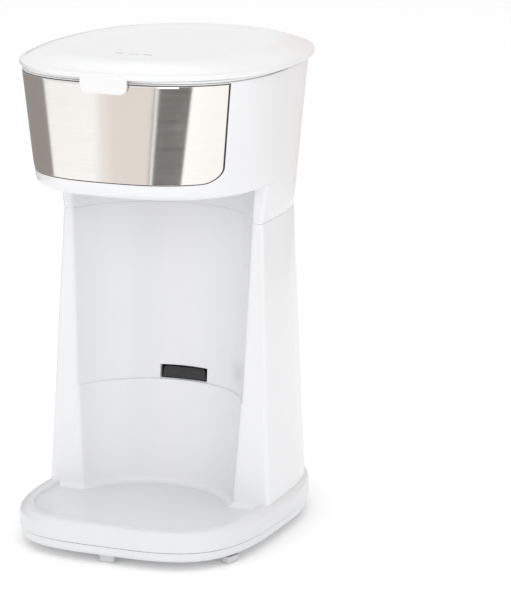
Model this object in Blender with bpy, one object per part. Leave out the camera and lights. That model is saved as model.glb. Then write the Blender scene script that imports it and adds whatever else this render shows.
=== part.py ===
"""Single-serve drip coffee maker: every casing, internal and moving piece as its own solid.

Metres, +Z up, front faces -Y, +X to the right.  The origin is under the middle of the base,
on the surface that the feet stand on.
"""
import math

import bmesh
import bpy
from mathutils import Matrix, Vector

# ---- clearances and walls ---------------------------------------------------------------
GAP = 0.0003                 # between solids that touch in the real machine
RUNNING_GAP = 0.0004         # round moving pieces
WALL = 0.0025                # casing wall
RING_POINTS = 52             # points round each plan outline

# ---- base ---------------------------------------------------------------------------------
FOOT_HEIGHT = 0.0047         # feet stand out below the base edge
BASE_HALF_WIDTH = 0.0728
BASE_FRONT = -0.0990
BASE_BACK = 0.0922
BASE_MID = -0.0022
BASE_FRONT_POWER = 3.6       # superellipse exponents of the plan outline
BASE_BACK_POWER = 2.35
BASE_TAPER = -0.008          # outline wider (+) or narrower (-) towards the back
TAPER_REACH = 0.0933         # depth over which a taper is counted
COVER_SEAM = 0.0104          # joint line of the bottom cover
COVER_INSET = 0.0006         # bottom cover stands back behind the casing
TRAY_RIM = 0.0225            # top of the rim round the mug tray
TRAY_FLOOR = 0.0198
TRAY_RIM_WIDTH = 0.0098

# ---- column and head ----------------------------------------------------------------------
SEAM = 0.185                 # joint between the lower and the upper casing
SEAM_HALF_WIDTH = 0.0622
SEAM_TAPER = -0.042
SEAM_BACK = 0.0870
COLUMN_STEP = 0.0034         # base stands out past the foot of the column
COLUMN_FOOT_HALF_WIDTH = BASE_HALF_WIDTH - COLUMN_STEP
COLUMN_FOOT_TAPER = -0.035
COLUMN_FRONT_AT_SEAM = -0.0180
COLUMN_FRONT_AT_FOOT = -0.0261
HEAD_BOTTOM = 0.2075         # underside of the head
HEAD_TOP = 0.2732
HEAD_TOP_HALF_WIDTH = 0.0732
HEAD_TOP_TAPER = -0.074
HEAD_FRONT = -0.0900
HEAD_TOP_BACK = 0.0885
HEAD_FRONT_POWER = 2.72
HEAD_EDGE_RADIUS = 0.0085    # rounding under the head
COLUMN_FRONT_POWER = 26.0
COLUMN_BACK_POWER = 2.5
LEDGE_WALL = 0.0020          # extra wall that carries the brew deck
DECK_DROP = 0.0112           # brew deck below the head's rim
DECK_LEVEL = HEAD_TOP - DECK_DROP
DECK_THICKNESS = 0.0025

# ---- mug bay ------------------------------------------------------------------------------
BAY_RADIUS_AT_SEAM = 0.0594
BAY_BACK_AT_SEAM = 0.0229
LEDGE = 0.0806               # small step in the bay wall
BAY_BACK_AT_LEDGE = 0.0136
BAY_RADIUS_AT_LEDGE = 0.0556
LEDGE_DEPTH = 0.0017
BAY_BACK_AT_FLOOR = 0.0034
BAY_RADIUS_AT_FLOOR = 0.0533
BAY_FILLET = 0.0028
BAY_FRONT_REACH = -0.060
BAY_TOP = HEAD_BOTTOM + 0.0012

# ---- brushed front panel ------------------------------------------------------------------
PANEL_DROP = 0.0012          # panel below the head's rim
PANEL_RISE = 0.0099          # panel above the head's underside
PANEL_TOP = HEAD_TOP - PANEL_DROP
PANEL_BOTTOM = HEAD_BOTTOM + PANEL_RISE
PANEL_TOP_HALF_WIDTH = 0.0631
PANEL_BOTTOM_HALF_WIDTH = 0.0577
PANEL_CORNER = 0.0075
PANEL_THICKNESS = 0.0008
PANEL_PROUD = 0.0001
PANEL_GAP = 0.0004

# ---- lid ----------------------------------------------------------------------------------
LID_SEAT = 0.0018            # room for the seal between the head's rim and the lid
LID_OVERHANG = 0.0043        # lid past the head at the sides, the front and the back
LID_FRONT_OVERHANG = 0.0033
LID_BACK_OVERHANG = 0.0045
LID_BOTTOM = HEAD_TOP + LID_SEAT
LID_LIP = 0.0032
LID_HALF_WIDTH = HEAD_TOP_HALF_WIDTH + LID_OVERHANG
LID_FRONT = HEAD_FRONT - LID_FRONT_OVERHANG
LID_BACK = HEAD_TOP_BACK + LID_BACK_OVERHANG
LID_FRONT_POWER = 2.34
LID_TAPER = -0.080
LID_BACK_POWER = 2.4
LID_RISE = 0.0096            # from the flange underside to the crown of the dome
LID_WALL = 0.0020
LID_DISH_DEPTH = 0.0013
TAB_HALF_WIDTH = 0.0142
TAB_DROP = 0.0082
TAB_THICKNESS = 0.0026
VENT_PITCH = 0.0086
VENT_Y = -0.0530
HINGE_SETBACK = 0.0051       # hinge axis behind the head's rim
HINGE_DROP = 0.0028          # hinge axis below the head's rim
HINGE_Y = HEAD_TOP_BACK + HINGE_SETBACK
HINGE_Z = HEAD_TOP - HINGE_DROP
HINGE_PIN_RADIUS = 0.0015
KNUCKLE_RADIUS = 0.0036
KNUCKLE_LENGTH = 0.009
KNUCKLE_X = 0.020            # between the middles of the housing ears and the centre
LID_KNUCKLE_X = KNUCKLE_X + KNUCKLE_LENGTH + GAP

# ---- brewing parts ------------------------------------------------------------------------
BREW_Y = -0.036              # axis of the basket and the spout hole
BASKET_RIM_RADIUS = 0.0490
BASKET_FLANGE = 0.0050       # rim past the basket's wall
BASKET_TOP_RADIUS = BASKET_RIM_RADIUS - BASKET_FLANGE
BASKET_BOTTOM_RADIUS = 0.0300
BASKET_DEPTH = 0.0500
BASKET_WALL = 0.0018
NOZZLE_RADIUS = 0.0055
NOZZLE_BORE = 0.0028
SPOUT_HOLE_RADIUS = 0.0090
FILTER_GAP = 0.0022
FILTER_WALL = 0.0006
TANK_HALF_WIDTH = 0.0425
TANK_FRONT = 0.0290
TANK_BACK = 0.0750
TANK_BOTTOM = 0.1300
TANK_WALL = 0.0018
TANK_FLANGE = 0.0026

# ---- heater and pipework ------------------------------------------------------------------
HEATER_Y = 0.058
HEATER_Z = 0.058
HEATER_LENGTH = 0.054
HEATER_DEPTH = 0.022
HEATER_HEIGHT = 0.038
WATER_PIPE_RADIUS = 0.0035
WATER_PIPE_BORE = 0.0022
WATER_PIPE_RISE = 0.008      # above the middle of the block
ELEMENT_RADIUS = 0.0034
ELEMENT_DROP = 0.010
HOSE_WALL = 0.0014
RISER_X = -0.0506
RISER_Y = 0.034

# ---- brew paddle --------------------------------------------------------------------------
PADDLE_HALF_WIDTH = 0.0143
PADDLE_TOP_HALF_WIDTH = 0.0131
PADDLE_HEIGHT = 0.0070
PADDLE_PROUD = 0.0014
PADDLE_FLANGE = 0.0026
PADDLE_TRAVEL = 0.003
SPRING_WIRE = 0.0004
SPRING_RADIUS = 0.0026
SPRING_TURNS = 6

# ---- feet and fixings ---------------------------------------------------------------------
FOOT_HALF_WIDTH = 0.0047
FOOT_DEPTH = 0.0060
SCREW_SHANK = 0.0013
SCREW_HEAD = 0.0034
BOSS_RADIUS = 0.0044
SCREW_INSET = 0.0074         # side screws inside the foot of the column
SCREW_SIDE = COLUMN_FOOT_HALF_WIDTH - SCREW_INSET
SCREW_PLACES = ((-0.046, -0.052), (0.046, -0.052), (-SCREW_SIDE, 0.030), (SCREW_SIDE, 0.030))
GLAND_Z = 0.030
GLAND_X = 0.0
GLAND_RADIUS = 0.0062

WHITE = (0.86, 0.86, 0.87)
COLUMN_FOOT = TRAY_FLOOR


# ---- small helpers ------------------------------------------------------------------------
def lerp(a, b, t):
    """Straight-line value between a and b."""
    return a + (b - a) * t


def clear_scene():
    """Remove every object, so the script starts from nothing."""
    for obj in list(bpy.data.objects):
        bpy.data.objects.remove(obj, do_unlink=True)


def make_material(name, colour, roughness, metallic=0.0, alpha=1.0):
    """A Principled material with one colour."""
    material = bpy.data.materials.new(name)
    material.use_nodes = True
    shader = material.node_tree.nodes["Principled BSDF"]
    shader.inputs["Base Color"].default_value = (*colour, 1.0)
    shader.inputs["Roughness"].default_value = roughness
    shader.inputs["Metallic"].default_value = metallic
    shader.inputs["Alpha"].default_value = alpha
    return material


def mesh_object(name, bm):
    """Turn a bmesh into a linked object with outward normals."""
    bmesh.ops.recalc_face_normals(bm, faces=bm.faces)
    mesh = bpy.data.meshes.new(name)
    bm.to_mesh(mesh)
    bm.free()
    obj = bpy.data.objects.new(name, mesh)
    bpy.context.scene.collection.objects.link(obj)
    return obj


def finish_piece(obj, colour, roughness, metallic=0.0, alpha=1.0, angle=35.0):
    """Give a piece its own material and smooth shading with sharp edges kept."""
    obj.data.materials.clear()
    obj.data.materials.append(make_material(obj.name, colour, roughness, metallic, alpha))
    obj.data.shade_smooth()
    obj.data.set_sharp_from_angle(angle=math.radians(angle))
    return obj


def combine(target, tool, operation):
    """Apply one exact Boolean to the target and drop the tool."""
    modifier = target.modifiers.new(operation, "BOOLEAN")
    modifier.solver = "EXACT"
    modifier.operation = operation
    modifier.object = tool
    graph = bpy.context.evaluated_depsgraph_get()
    result = bpy.data.meshes.new_from_object(target.evaluated_get(graph))
    target.modifiers.clear()
    target.data = result
    bpy.data.objects.remove(tool, do_unlink=True)
    return target


def cut(target, tool):
    return combine(target, tool, "DIFFERENCE")


def join(target, tool):
    return combine(target, tool, "UNION")


def keep_common(target, tool):
    return combine(target, tool, "INTERSECT")


# ---- plan outlines ------------------------------------------------------------------------
def plan_ring(half_width, front, back, mid, front_power, back_power, z, taper=0.0):
    """A plan outline with its own superellipse exponent in front of and behind mid."""
    points = []
    for k in range(RING_POINTS):
        angle = 2.0 * math.pi * (k + 0.5) / RING_POINTS
        c, s = math.cos(angle), math.sin(angle)
        power = front_power if s < 0.0 else back_power
        reach = (mid - front) if s < 0.0 else (back - mid)
        x = half_width * math.copysign(abs(c) ** (2.0 / power), c)
        y = mid + reach * math.copysign(abs(s) ** (2.0 / power), s)
        points.append(Vector((x * (1.0 + taper * y / TAPER_REACH), y, z)))
    return points


def base_ring(inset, z):
    """Outline of the base, moved inwards by inset."""
    return plan_ring(BASE_HALF_WIDTH - inset, BASE_FRONT + inset, BASE_BACK - inset, BASE_MID,
                     BASE_FRONT_POWER, BASE_BACK_POWER, z, BASE_TAPER)


def column_ring(inset, z):
    """Outline of the column below the seam, with its flat front face."""
    t = (SEAM - z) / (SEAM - COLUMN_FOOT)
    return plan_ring(lerp(SEAM_HALF_WIDTH, COLUMN_FOOT_HALF_WIDTH, t) - inset,
                     lerp(COLUMN_FRONT_AT_SEAM, COLUMN_FRONT_AT_FOOT, t) + inset,
                     lerp(SEAM_BACK, BASE_BACK - 0.0006, t) - inset, 0.0,
                     COLUMN_FRONT_POWER, COLUMN_BACK_POWER, z, lerp(SEAM_TAPER, COLUMN_FOOT_TAPER, t))


def head_share(z):
    return (z - SEAM) / (HEAD_TOP - SEAM)


def neck_ring(inset, z):
    """Column outline above the seam, following the head's taper."""
    t = head_share(z)
    return plan_ring(lerp(SEAM_HALF_WIDTH, HEAD_TOP_HALF_WIDTH, t) - inset,
                     COLUMN_FRONT_AT_SEAM + inset, lerp(SEAM_BACK, HEAD_TOP_BACK, t) - inset, 0.0,
                     COLUMN_FRONT_POWER, COLUMN_BACK_POWER, z, lerp(SEAM_TAPER, HEAD_TOP_TAPER, t))


def head_ring(inset, z, front_inset=None):
    """Outline of the head."""
    front_inset = inset if front_inset is None else front_inset
    t = head_share(z)
    return plan_ring(lerp(SEAM_HALF_WIDTH, HEAD_TOP_HALF_WIDTH, t) - inset, HEAD_FRONT + front_inset,
                     lerp(SEAM_BACK, HEAD_TOP_BACK, t) - inset, 0.0,
                     HEAD_FRONT_POWER, COLUMN_BACK_POWER, z, lerp(SEAM_TAPER, HEAD_TOP_TAPER, t))


def lid_ring(inset, z):
    """Outline of the lid flange, moved inwards by inset."""
    return plan_ring(LID_HALF_WIDTH - inset, LID_FRONT + inset, LID_BACK - inset, 0.0,
                     LID_FRONT_POWER, LID_BACK_POWER, z, LID_TAPER)


def tank_ring(outset, z):
    """Outline of the water tank, moved outwards by outset."""
    return plan_ring(TANK_HALF_WIDTH + outset, TANK_FRONT - outset, TANK_BACK + outset, 0.050,
                     5.0, 2.7, z)


def bay_back(z):
    """Back of the bay wall on the centre line, above the ledge."""
    return lerp(BAY_BACK_AT_LEDGE, BAY_BACK_AT_SEAM, (z - LEDGE) / (SEAM - LEDGE))


def bay_ring(z, grow=0.0, below_ledge=False, shrink=0.0):
    """Outline of the mug bay: round at the back, straight towards the front."""
    if below_ledge:
        t = (z - TRAY_FLOOR) / (LEDGE - TRAY_FLOOR)
        radius = lerp(BAY_RADIUS_AT_FLOOR, BAY_RADIUS_AT_LEDGE, t)
        back = lerp(BAY_BACK_AT_FLOOR, BAY_BACK_AT_LEDGE - LEDGE_DEPTH, t)
    else:
        radius = lerp(BAY_RADIUS_AT_LEDGE, BAY_RADIUS_AT_SEAM, (z - LEDGE) / (SEAM - LEDGE))
        back = bay_back(z)
    radius += grow - shrink
    back += grow - shrink
    return plan_ring(radius, BAY_FRONT_REACH - grow, back, back - radius, 14.0, 2.0, z)


# ---- solids -------------------------------------------------------------------------------
def loft(name, rings):
    """Closed solid through plan outlines listed from bottom to top."""
    bm = bmesh.new()
    rows = [[bm.verts.new(point) for point in ring] for ring in rings]
    count = len(rings[0])
    for low, high in zip(rows, rows[1:]):
        for k in range(count):
            n = (k + 1) % count
            bm.faces.new((low[k], low[n], high[n], high[k]))
    bm.faces.new(rows[0])
    bm.faces.new(rows[-1])
    return mesh_object(name, bm)


def turned(name, profile, centre, steps=48):
    """Ring-shaped or solid turned piece from a closed (radius, height) profile."""
    bm = bmesh.new()
    rows = []
    for radius, height in profile:
        if radius < 1e-6:
            rows.append([bm.verts.new((centre[0], centre[1], height))])
            continue
        rows.append([bm.verts.new((centre[0] + radius * math.cos(2 * math.pi * k / steps),
                                   centre[1] + radius * math.sin(2 * math.pi * k / steps),
                                   height)) for k in range(steps)])
    closed = all(len(row) > 1 for row in rows)
    pairs = list(zip(rows, rows[1:])) + ([(rows[-1], rows[0])] if closed else [])
    for low, high in pairs:
        for k in range(steps):
            n = (k + 1) % steps
            if len(low) == 1:
                bm.faces.new((low[0], high[n], high[k]))
            elif len(high) == 1:
                bm.faces.new((low[k], low[n], high[0]))
            else:
                bm.faces.new((low[k], low[n], high[n], high[k]))
    return mesh_object(name, bm)


def cylinder(name, radius, start, end, segments=28):
    """Solid rod from start to end."""
    start, end = Vector(start), Vector(end)
    bm = bmesh.new()
    bmesh.ops.create_cone(bm, cap_ends=True, segments=segments, radius1=radius, radius2=radius,
                          depth=(end - start).length)
    turn = (end - start).to_track_quat("Z", "Y").to_matrix().to_4x4()
    bmesh.ops.transform(bm, matrix=Matrix.Translation((start + end) / 2) @ turn, verts=bm.verts)
    return mesh_object(name, bm)


def box(name, low, high, bevel=0.0, segments=2):
    """Box between two corners, with rounded edges where bevel is given."""
    low, high = Vector(low), Vector(high)
    bm = bmesh.new()
    bmesh.ops.create_cube(bm, size=1.0)
    bmesh.ops.scale(bm, vec=high - low, verts=bm.verts)
    bmesh.ops.translate(bm, vec=(low + high) / 2, verts=bm.verts)
    if bevel:
        bmesh.ops.bevel(bm, geom=bm.edges[:], offset=bevel, segments=segments, profile=0.5,
                        affect="EDGES")
    return mesh_object(name, bm)


def extruded(name, outline, low, high, axis):
    """Prism of an outline given in the two other axes, between two values of one axis."""
    def place(u, v, w):
        return {"X": (w, u, v), "Y": (u, w, v), "Z": (u, v, w)}[axis]
    bm = bmesh.new()
    near = [bm.verts.new(place(u, v, low)) for u, v in outline]
    far = [bm.verts.new(place(u, v, high)) for u, v in outline]
    count = len(outline)
    for k in range(count):
        n = (k + 1) % count
        bm.faces.new((near[k], near[n], far[n], far[k]))
    bm.faces.new(near)
    bm.faces.new(far)
    return mesh_object(name, bm)


def rounded_outline(corners, radii, steps=6):
    """Corner list with each corner rounded by its own radius."""
    points = []
    count = len(corners)
    for k, (corner, radius) in enumerate(zip(corners, radii)):
        here = Vector(corner)
        before = (Vector(corners[k - 1]) - here).normalized()
        after = (Vector(corners[(k + 1) % count]) - here).normalized()
        if radius <= 0.0:
            points.append(tuple(here))
            continue
        half = before.angle(after) / 2.0
        reach = radius / math.tan(half)
        middle = here + (before + after).normalized() * (radius / math.sin(half))
        first, last = here + before * reach - middle, here + after * reach - middle
        sweep = math.atan2(first.x * last.y - first.y * last.x, first.dot(last))
        for j in range(steps + 1):
            a = sweep * j / steps
            points.append((middle.x + first.x * math.cos(a) - first.y * math.sin(a),
                           middle.y + first.x * math.sin(a) + first.y * math.cos(a)))
    return points


def smooth_path(points, count):
    """Catmull-Rom curve through the points, sampled evenly in its parameter."""
    points = [Vector(p) for p in points]
    points = [2 * points[0] - points[1]] + points + [2 * points[-1] - points[-2]]
    spans = len(points) - 3
    path = []
    for k in range(count):
        t = spans * k / (count - 1)
        i = min(int(t), spans - 1)
        t -= i
        a, b, c, d = points[i:i + 4]
        path.append(0.5 * (2 * b + (c - a) * t + (2 * a - 5 * b + 4 * c - d) * t * t
                           + (3 * b - a - 3 * c + d) * t ** 3))
    return path


def swept(name, path, radius, bore=0.0, sides=12):
    """Round rod along a path, or a hose when bore is given."""
    bm = bmesh.new()
    tangent = (path[1] - path[0]).normalized()
    normal = tangent.orthogonal().normalized()
    outer, inner = [], []
    for k, point in enumerate(path):
        ahead = path[min(k + 1, len(path) - 1)] - path[max(k - 1, 0)]
        turn = tangent.rotation_difference(ahead.normalized())
        tangent = ahead.normalized()
        normal = (turn @ normal).normalized()
        side = tangent.cross(normal)
        for rows, r in ((outer, radius), (inner, bore)):
            if r > 0.0:
                rows.append([bm.verts.new(point + normal * (r * math.cos(2 * math.pi * j / sides))
                                          + side * (r * math.sin(2 * math.pi * j / sides)))
                             for j in range(sides)])
    for rows in (outer, inner):
        for low, high in zip(rows, rows[1:]):
            for j in range(sides):
                n = (j + 1) % sides
                bm.faces.new((low[j], low[n], high[n], high[j]))
    for end in (0, -1):
        if inner:
            for j in range(sides):
                n = (j + 1) % sides
                bm.faces.new((outer[end][j], outer[end][n], inner[end][n], inner[end][j]))
        else:
            bm.faces.new(outer[end])
    return mesh_object(name, bm)


# ---- casings ------------------------------------------------------------------------------
def bay_solid(name, grow, top):
    """The mug bay as a solid: round wall, ledge step and filleted foot."""
    floor = TRAY_FLOOR - grow
    rings = []
    for k in range(4):
        a = math.pi / 2 * k / 3
        pull = BAY_FILLET * (1.0 - math.sin(a))
        rings.append(bay_ring(floor + BAY_FILLET * (1.0 - math.cos(a)), grow, True, pull))
    rings += [bay_ring(LEDGE, grow, True), bay_ring(LEDGE + 0.00005, grow),
              bay_ring(SEAM, grow), bay_ring(top, grow)]
    return loft(name, rings)


def lower_housing():
    """Column, mug tray and base casing in one moulding, open below and above."""
    shell = loft("lower_housing", [
        base_ring(0.0003, COVER_SEAM + GAP), base_ring(0.0, COVER_SEAM + 0.0012),
        base_ring(0.0, TRAY_RIM - 0.0040), base_ring(0.0004, TRAY_RIM - 0.0024),
        base_ring(0.0013, TRAY_RIM - 0.0010), base_ring(0.0026, TRAY_RIM - 0.0002),
        base_ring(0.0040, TRAY_RIM)])
    join(shell, loft("column", [column_ring(0.0003, COVER_SEAM + 0.0030),
                                column_ring(0.0, TRAY_RIM + 0.004),
                                column_ring(0.0, SEAM - GAP)]))
    tray = [plan_ring(BASE_HALF_WIDTH - TRAY_RIM_WIDTH - pull, BASE_FRONT + TRAY_RIM_WIDTH + pull,
                      COLUMN_FRONT_AT_FOOT, -0.040, 2.8, 24.0, z, BASE_TAPER)
            for pull, z in ((0.0022, TRAY_FLOOR), (0.0010, TRAY_FLOOR + 0.0007),
                            (0.0002, TRAY_RIM - 0.0006), (-0.0008, TRAY_RIM + 0.0004))]
    cut(shell, loft("tray", tray))
    cut(shell, bay_solid("bay", 0.0, SEAM + 0.002))
    inside = loft("inside", [base_ring(WALL, COVER_SEAM - 0.002),
                             base_ring(WALL, TRAY_FLOOR - WALL)])
    join(inside, loft("inside_column", [column_ring(WALL + 0.0004, COVER_SEAM - 0.001),
                                        column_ring(WALL, SEAM + 0.002)]))
    cut(inside, bay_solid("bay_wall", WALL, SEAM + 0.004))
    for x, y in SCREW_PLACES:
        cut(inside, cylinder("boss", BOSS_RADIUS, (x, y, COVER_SEAM - 0.0035), (x, y, 0.030)))
    cut(shell, inside)
    for x, y in SCREW_PLACES:
        cut(shell, cylinder("pilot", SCREW_SHANK + GAP, (x, y, 0.005), (x, y, 0.0165)))
    window = PADDLE_HALF_WIDTH + 2 * RUNNING_GAP
    cut(shell, box("window", (-window, 0.0, LEDGE + 0.0002),
                   (window, 0.021, LEDGE + 0.0002 + PADDLE_HEIGHT + 3 * RUNNING_GAP)))
    cut(shell, cylinder("gland_hole", GLAND_RADIUS, (GLAND_X, 0.070, GLAND_Z),
                        (GLAND_X, 0.100, GLAND_Z)))
    return finish_piece(shell, WHITE, 0.28)


def panel_stencil(name, grow, depth_low, depth_high):
    """Front view of the brushed panel, extruded along Y."""
    top, low = PANEL_TOP + grow, PANEL_BOTTOM - grow
    wide, narrow = PANEL_TOP_HALF_WIDTH + grow, PANEL_BOTTOM_HALF_WIDTH + grow
    outline = rounded_outline([(-wide, top), (wide, top), (narrow, low), (-narrow, low)],
                              [0.0006, 0.0006, PANEL_CORNER + grow, PANEL_CORNER + grow], 8)
    return extruded(name, outline, depth_low, depth_high, "Y")


def upper_housing():
    """Head and neck casing, open at the top, with the hinge ears."""
    under, step = HEAD_EDGE_RADIUS, 0.0005
    rings = [neck_ring(0.0, SEAM + GAP), neck_ring(0.0, HEAD_BOTTOM - step)]
    for k in range(6):
        a = math.pi / 2 * k / 5
        rings.append(head_ring(0.0, HEAD_BOTTOM + under * (1.0 - math.cos(a)),
                               under * (1.0 - math.sin(a))))
    rings += [head_ring(0.0, HEAD_TOP - 0.0012), head_ring(0.0006, HEAD_TOP)]
    shell = loft("upper_housing", rings)
    cut(shell, bay_solid("bay", 0.0, BAY_TOP))
    floor = BAY_TOP + WALL
    inside = loft("inside", [
        neck_ring(WALL, SEAM - 0.003), neck_ring(WALL, floor - step),
        head_ring(WALL + LEDGE_WALL + 0.0006, floor), head_ring(WALL + LEDGE_WALL, floor + 0.006),
        head_ring(WALL + LEDGE_WALL, DECK_LEVEL - GAP),
        head_ring(WALL, DECK_LEVEL - GAP + 0.00005), head_ring(WALL, HEAD_TOP + 0.004)])
    cut(inside, bay_solid("bay_wall", WALL, floor - step - GAP))
    cut(shell, inside)
    cut(shell, cylinder("spout_hole", SPOUT_HOLE_RADIUS, (0, BREW_Y, SEAM), (0, BREW_Y, floor + 0.004)))
    recess = loft("recess", [head_ring(-0.002, PANEL_BOTTOM - 0.004),
                             head_ring(-0.002, PANEL_TOP + 0.004)])
    cut(recess, loft("recess_core", [
        head_ring(PANEL_THICKNESS + GAP, PANEL_BOTTOM - 0.006),
        head_ring(PANEL_THICKNESS + GAP, PANEL_TOP + 0.006)]))
    keep_common(recess, panel_stencil("stencil", PANEL_GAP, HEAD_FRONT - 0.01, -0.030))
    cut(shell, recess)
    for side in (-1, 1):
        join(shell, hinge_ear("ear", side * KNUCKLE_X, KNUCKLE_LENGTH, False))
        cut(shell, cylinder("ear_bore", HINGE_PIN_RADIUS + RUNNING_GAP,
                            (side * (KNUCKLE_X - 0.012), HINGE_Y, HINGE_Z),
                            (side * (KNUCKLE_X + 0.012), HINGE_Y, HINGE_Z), 24))
    return finish_piece(shell, WHITE, 0.26)


def hinge_ear(name, x, length, on_lid):
    """Barrel round the hinge axis with a web to the lid or to the casing wall."""
    steps = 16
    points = []
    if on_lid:
        start, stop = math.radians(0), math.radians(-180)
        tail = [(HINGE_Y - KNUCKLE_RADIUS, LID_BOTTOM + 0.0004),
                (HINGE_Y - 0.0074, LID_BOTTOM + 0.0004), (HINGE_Y - 0.0074, LID_BOTTOM + 0.0017),
                (LID_BACK - 0.0006, LID_BOTTOM + 0.0017), (HINGE_Y + KNUCKLE_RADIUS, HINGE_Z + 0.003)]
    else:
        start, stop = math.radians(90), math.radians(-90)
        tail = [(HINGE_Y - 0.0085, HINGE_Z - KNUCKLE_RADIUS - 0.004),
                (HINGE_Y - 0.0085, HINGE_Z + 0.002), (HINGE_Y - 0.004, HINGE_Z + KNUCKLE_RADIUS)]
    for k in range(steps + 1):
        a = lerp(start, stop, k / steps)
        points.append((HINGE_Y + KNUCKLE_RADIUS * math.cos(a), HINGE_Z + KNUCKLE_RADIUS * math.sin(a)))
    return extruded(name, points + tail, x - length / 2, x + length / 2, "X")


def steel_fascia():
    """Brushed sheet that wraps round the front of the head."""
    outer = loft("steel_fascia", [head_ring(-PANEL_PROUD, PANEL_BOTTOM - 0.004),
                                  head_ring(-PANEL_PROUD, PANEL_TOP + 0.004)])
    cut(outer, loft("core", [head_ring(PANEL_THICKNESS, PANEL_BOTTOM - 0.006),
                             head_ring(PANEL_THICKNESS, PANEL_TOP + 0.006)]))
    keep_common(outer, panel_stencil("stencil", 0.0, HEAD_FRONT - 0.01, -0.032))
    return finish_piece(outer, (0.62, 0.59, 0.56), 0.3, 1.0)


def bottom_cover():
    """Shallow tray that closes the base from below."""
    floor = FOOT_HEIGHT
    cover = loft("bottom_cover", [
        base_ring(COVER_INSET + 0.0012, floor), base_ring(COVER_INSET + 0.0002, floor + 0.0008),
        base_ring(COVER_INSET, floor + 0.002), base_ring(COVER_INSET, COVER_SEAM)])
    cut(cover, loft("hollow", [base_ring(COVER_INSET + WALL, floor + 0.0017),
                               base_ring(COVER_INSET + WALL, COVER_SEAM + 0.002)]))
    for x, y in SCREW_PLACES:
        cut(cover, cylinder("hole", SCREW_SHANK + 0.0005, (x, y, 0.0), (x, y, 0.012)))
    for k in range(5):
        x = 0.012 * (k - 2)
        cut(cover, box("slot", (x - 0.0016, 0.028, 0.0), (x + 0.0016, 0.052, 0.012)))
    return finish_piece(cover, WHITE, 0.35)


def foot(name, x, y, heading):
    """Small tapered foot under the edge of the base; heading turns its long side."""
    bm = bmesh.new()
    top, low = FOOT_HEIGHT - GAP, 0.0
    rows = []
    for z, pull in ((low, 0.0012), (0.0012, 0.0002), (top, 0.0)):
        wide, deep = FOOT_HALF_WIDTH - pull, FOOT_DEPTH / 2 - pull
        corners = rounded_outline([(-wide, -deep), (wide, -deep), (wide, deep), (-wide, deep)],
                                  [0.0012] * 4, 3)
        rows.append([bm.verts.new((u, v, z)) for u, v in corners])
    count = len(rows[0])
    for a, b in zip(rows, rows[1:]):
        for k in range(count):
            n = (k + 1) % count
            bm.faces.new((a[k], a[n], b[n], b[k]))
    bm.faces.new(rows[0])
    bm.faces.new(rows[-1])
    obj = mesh_object(name, bm)
    obj.location = (x, y, 0.0)
    obj.rotation_euler = (0.0, 0.0, math.radians(heading))
    return finish_piece(obj, (0.80, 0.80, 0.81), 0.55)


def edge_place(angle, inset):
    """A point on the base outline at a compass angle from the front, moved inwards."""
    ring = base_ring(inset, 0.0)
    wanted = Vector((math.sin(math.radians(angle)), -math.cos(math.radians(angle))))
    best = max(ring, key=lambda p: Vector((p.x, p.y - BASE_MID)).normalized().dot(wanted))
    return best.x, best.y


def feet():
    inset = COVER_INSET + 0.0004 + FOOT_DEPTH / 2
    foot("foot_front", 0.0, BASE_FRONT + inset + 0.0026, 0.0)
    x, y = edge_place(43.0, inset)
    foot("foot_right", abs(x), y, 74.0)
    x, y = edge_place(-62.0, inset)
    foot("foot_left", -abs(x), y, -80.0)
    x, y = edge_place(145.0, inset + 0.0010)
    foot("foot_rear_right", abs(x), y, 145.0)
    foot("foot_rear_left", -abs(x), y, -145.0)


def cover_screws():
    """Self-tapping screws that hold the bottom cover."""
    head_low, head_high = FOOT_HEIGHT - GAP - 0.0018, FOOT_HEIGHT - GAP
    for k, place in enumerate(SCREW_PLACES):
        screw = turned(f"cover_screw_{k + 1}", [
            (0.0, head_low), (SCREW_HEAD * 0.8, head_low), (SCREW_HEAD, head_low + 0.0006),
            (SCREW_HEAD, head_high), (SCREW_SHANK, head_high), (SCREW_SHANK, 0.0150),
            (0.0, 0.0162)], place, 20)
        finish_piece(screw, (0.55, 0.55, 0.56), 0.35, 1.0)


# ---- lid ----------------------------------------------------------------------------------
def dish_ring(shrink, z):
    """Outline of the shallow dish in the lid."""
    return plan_ring(0.0520 - shrink, -0.0785 + shrink, 0.0560 - 1.6 * shrink, -0.012, 2.6, 2.1, z)


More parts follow.
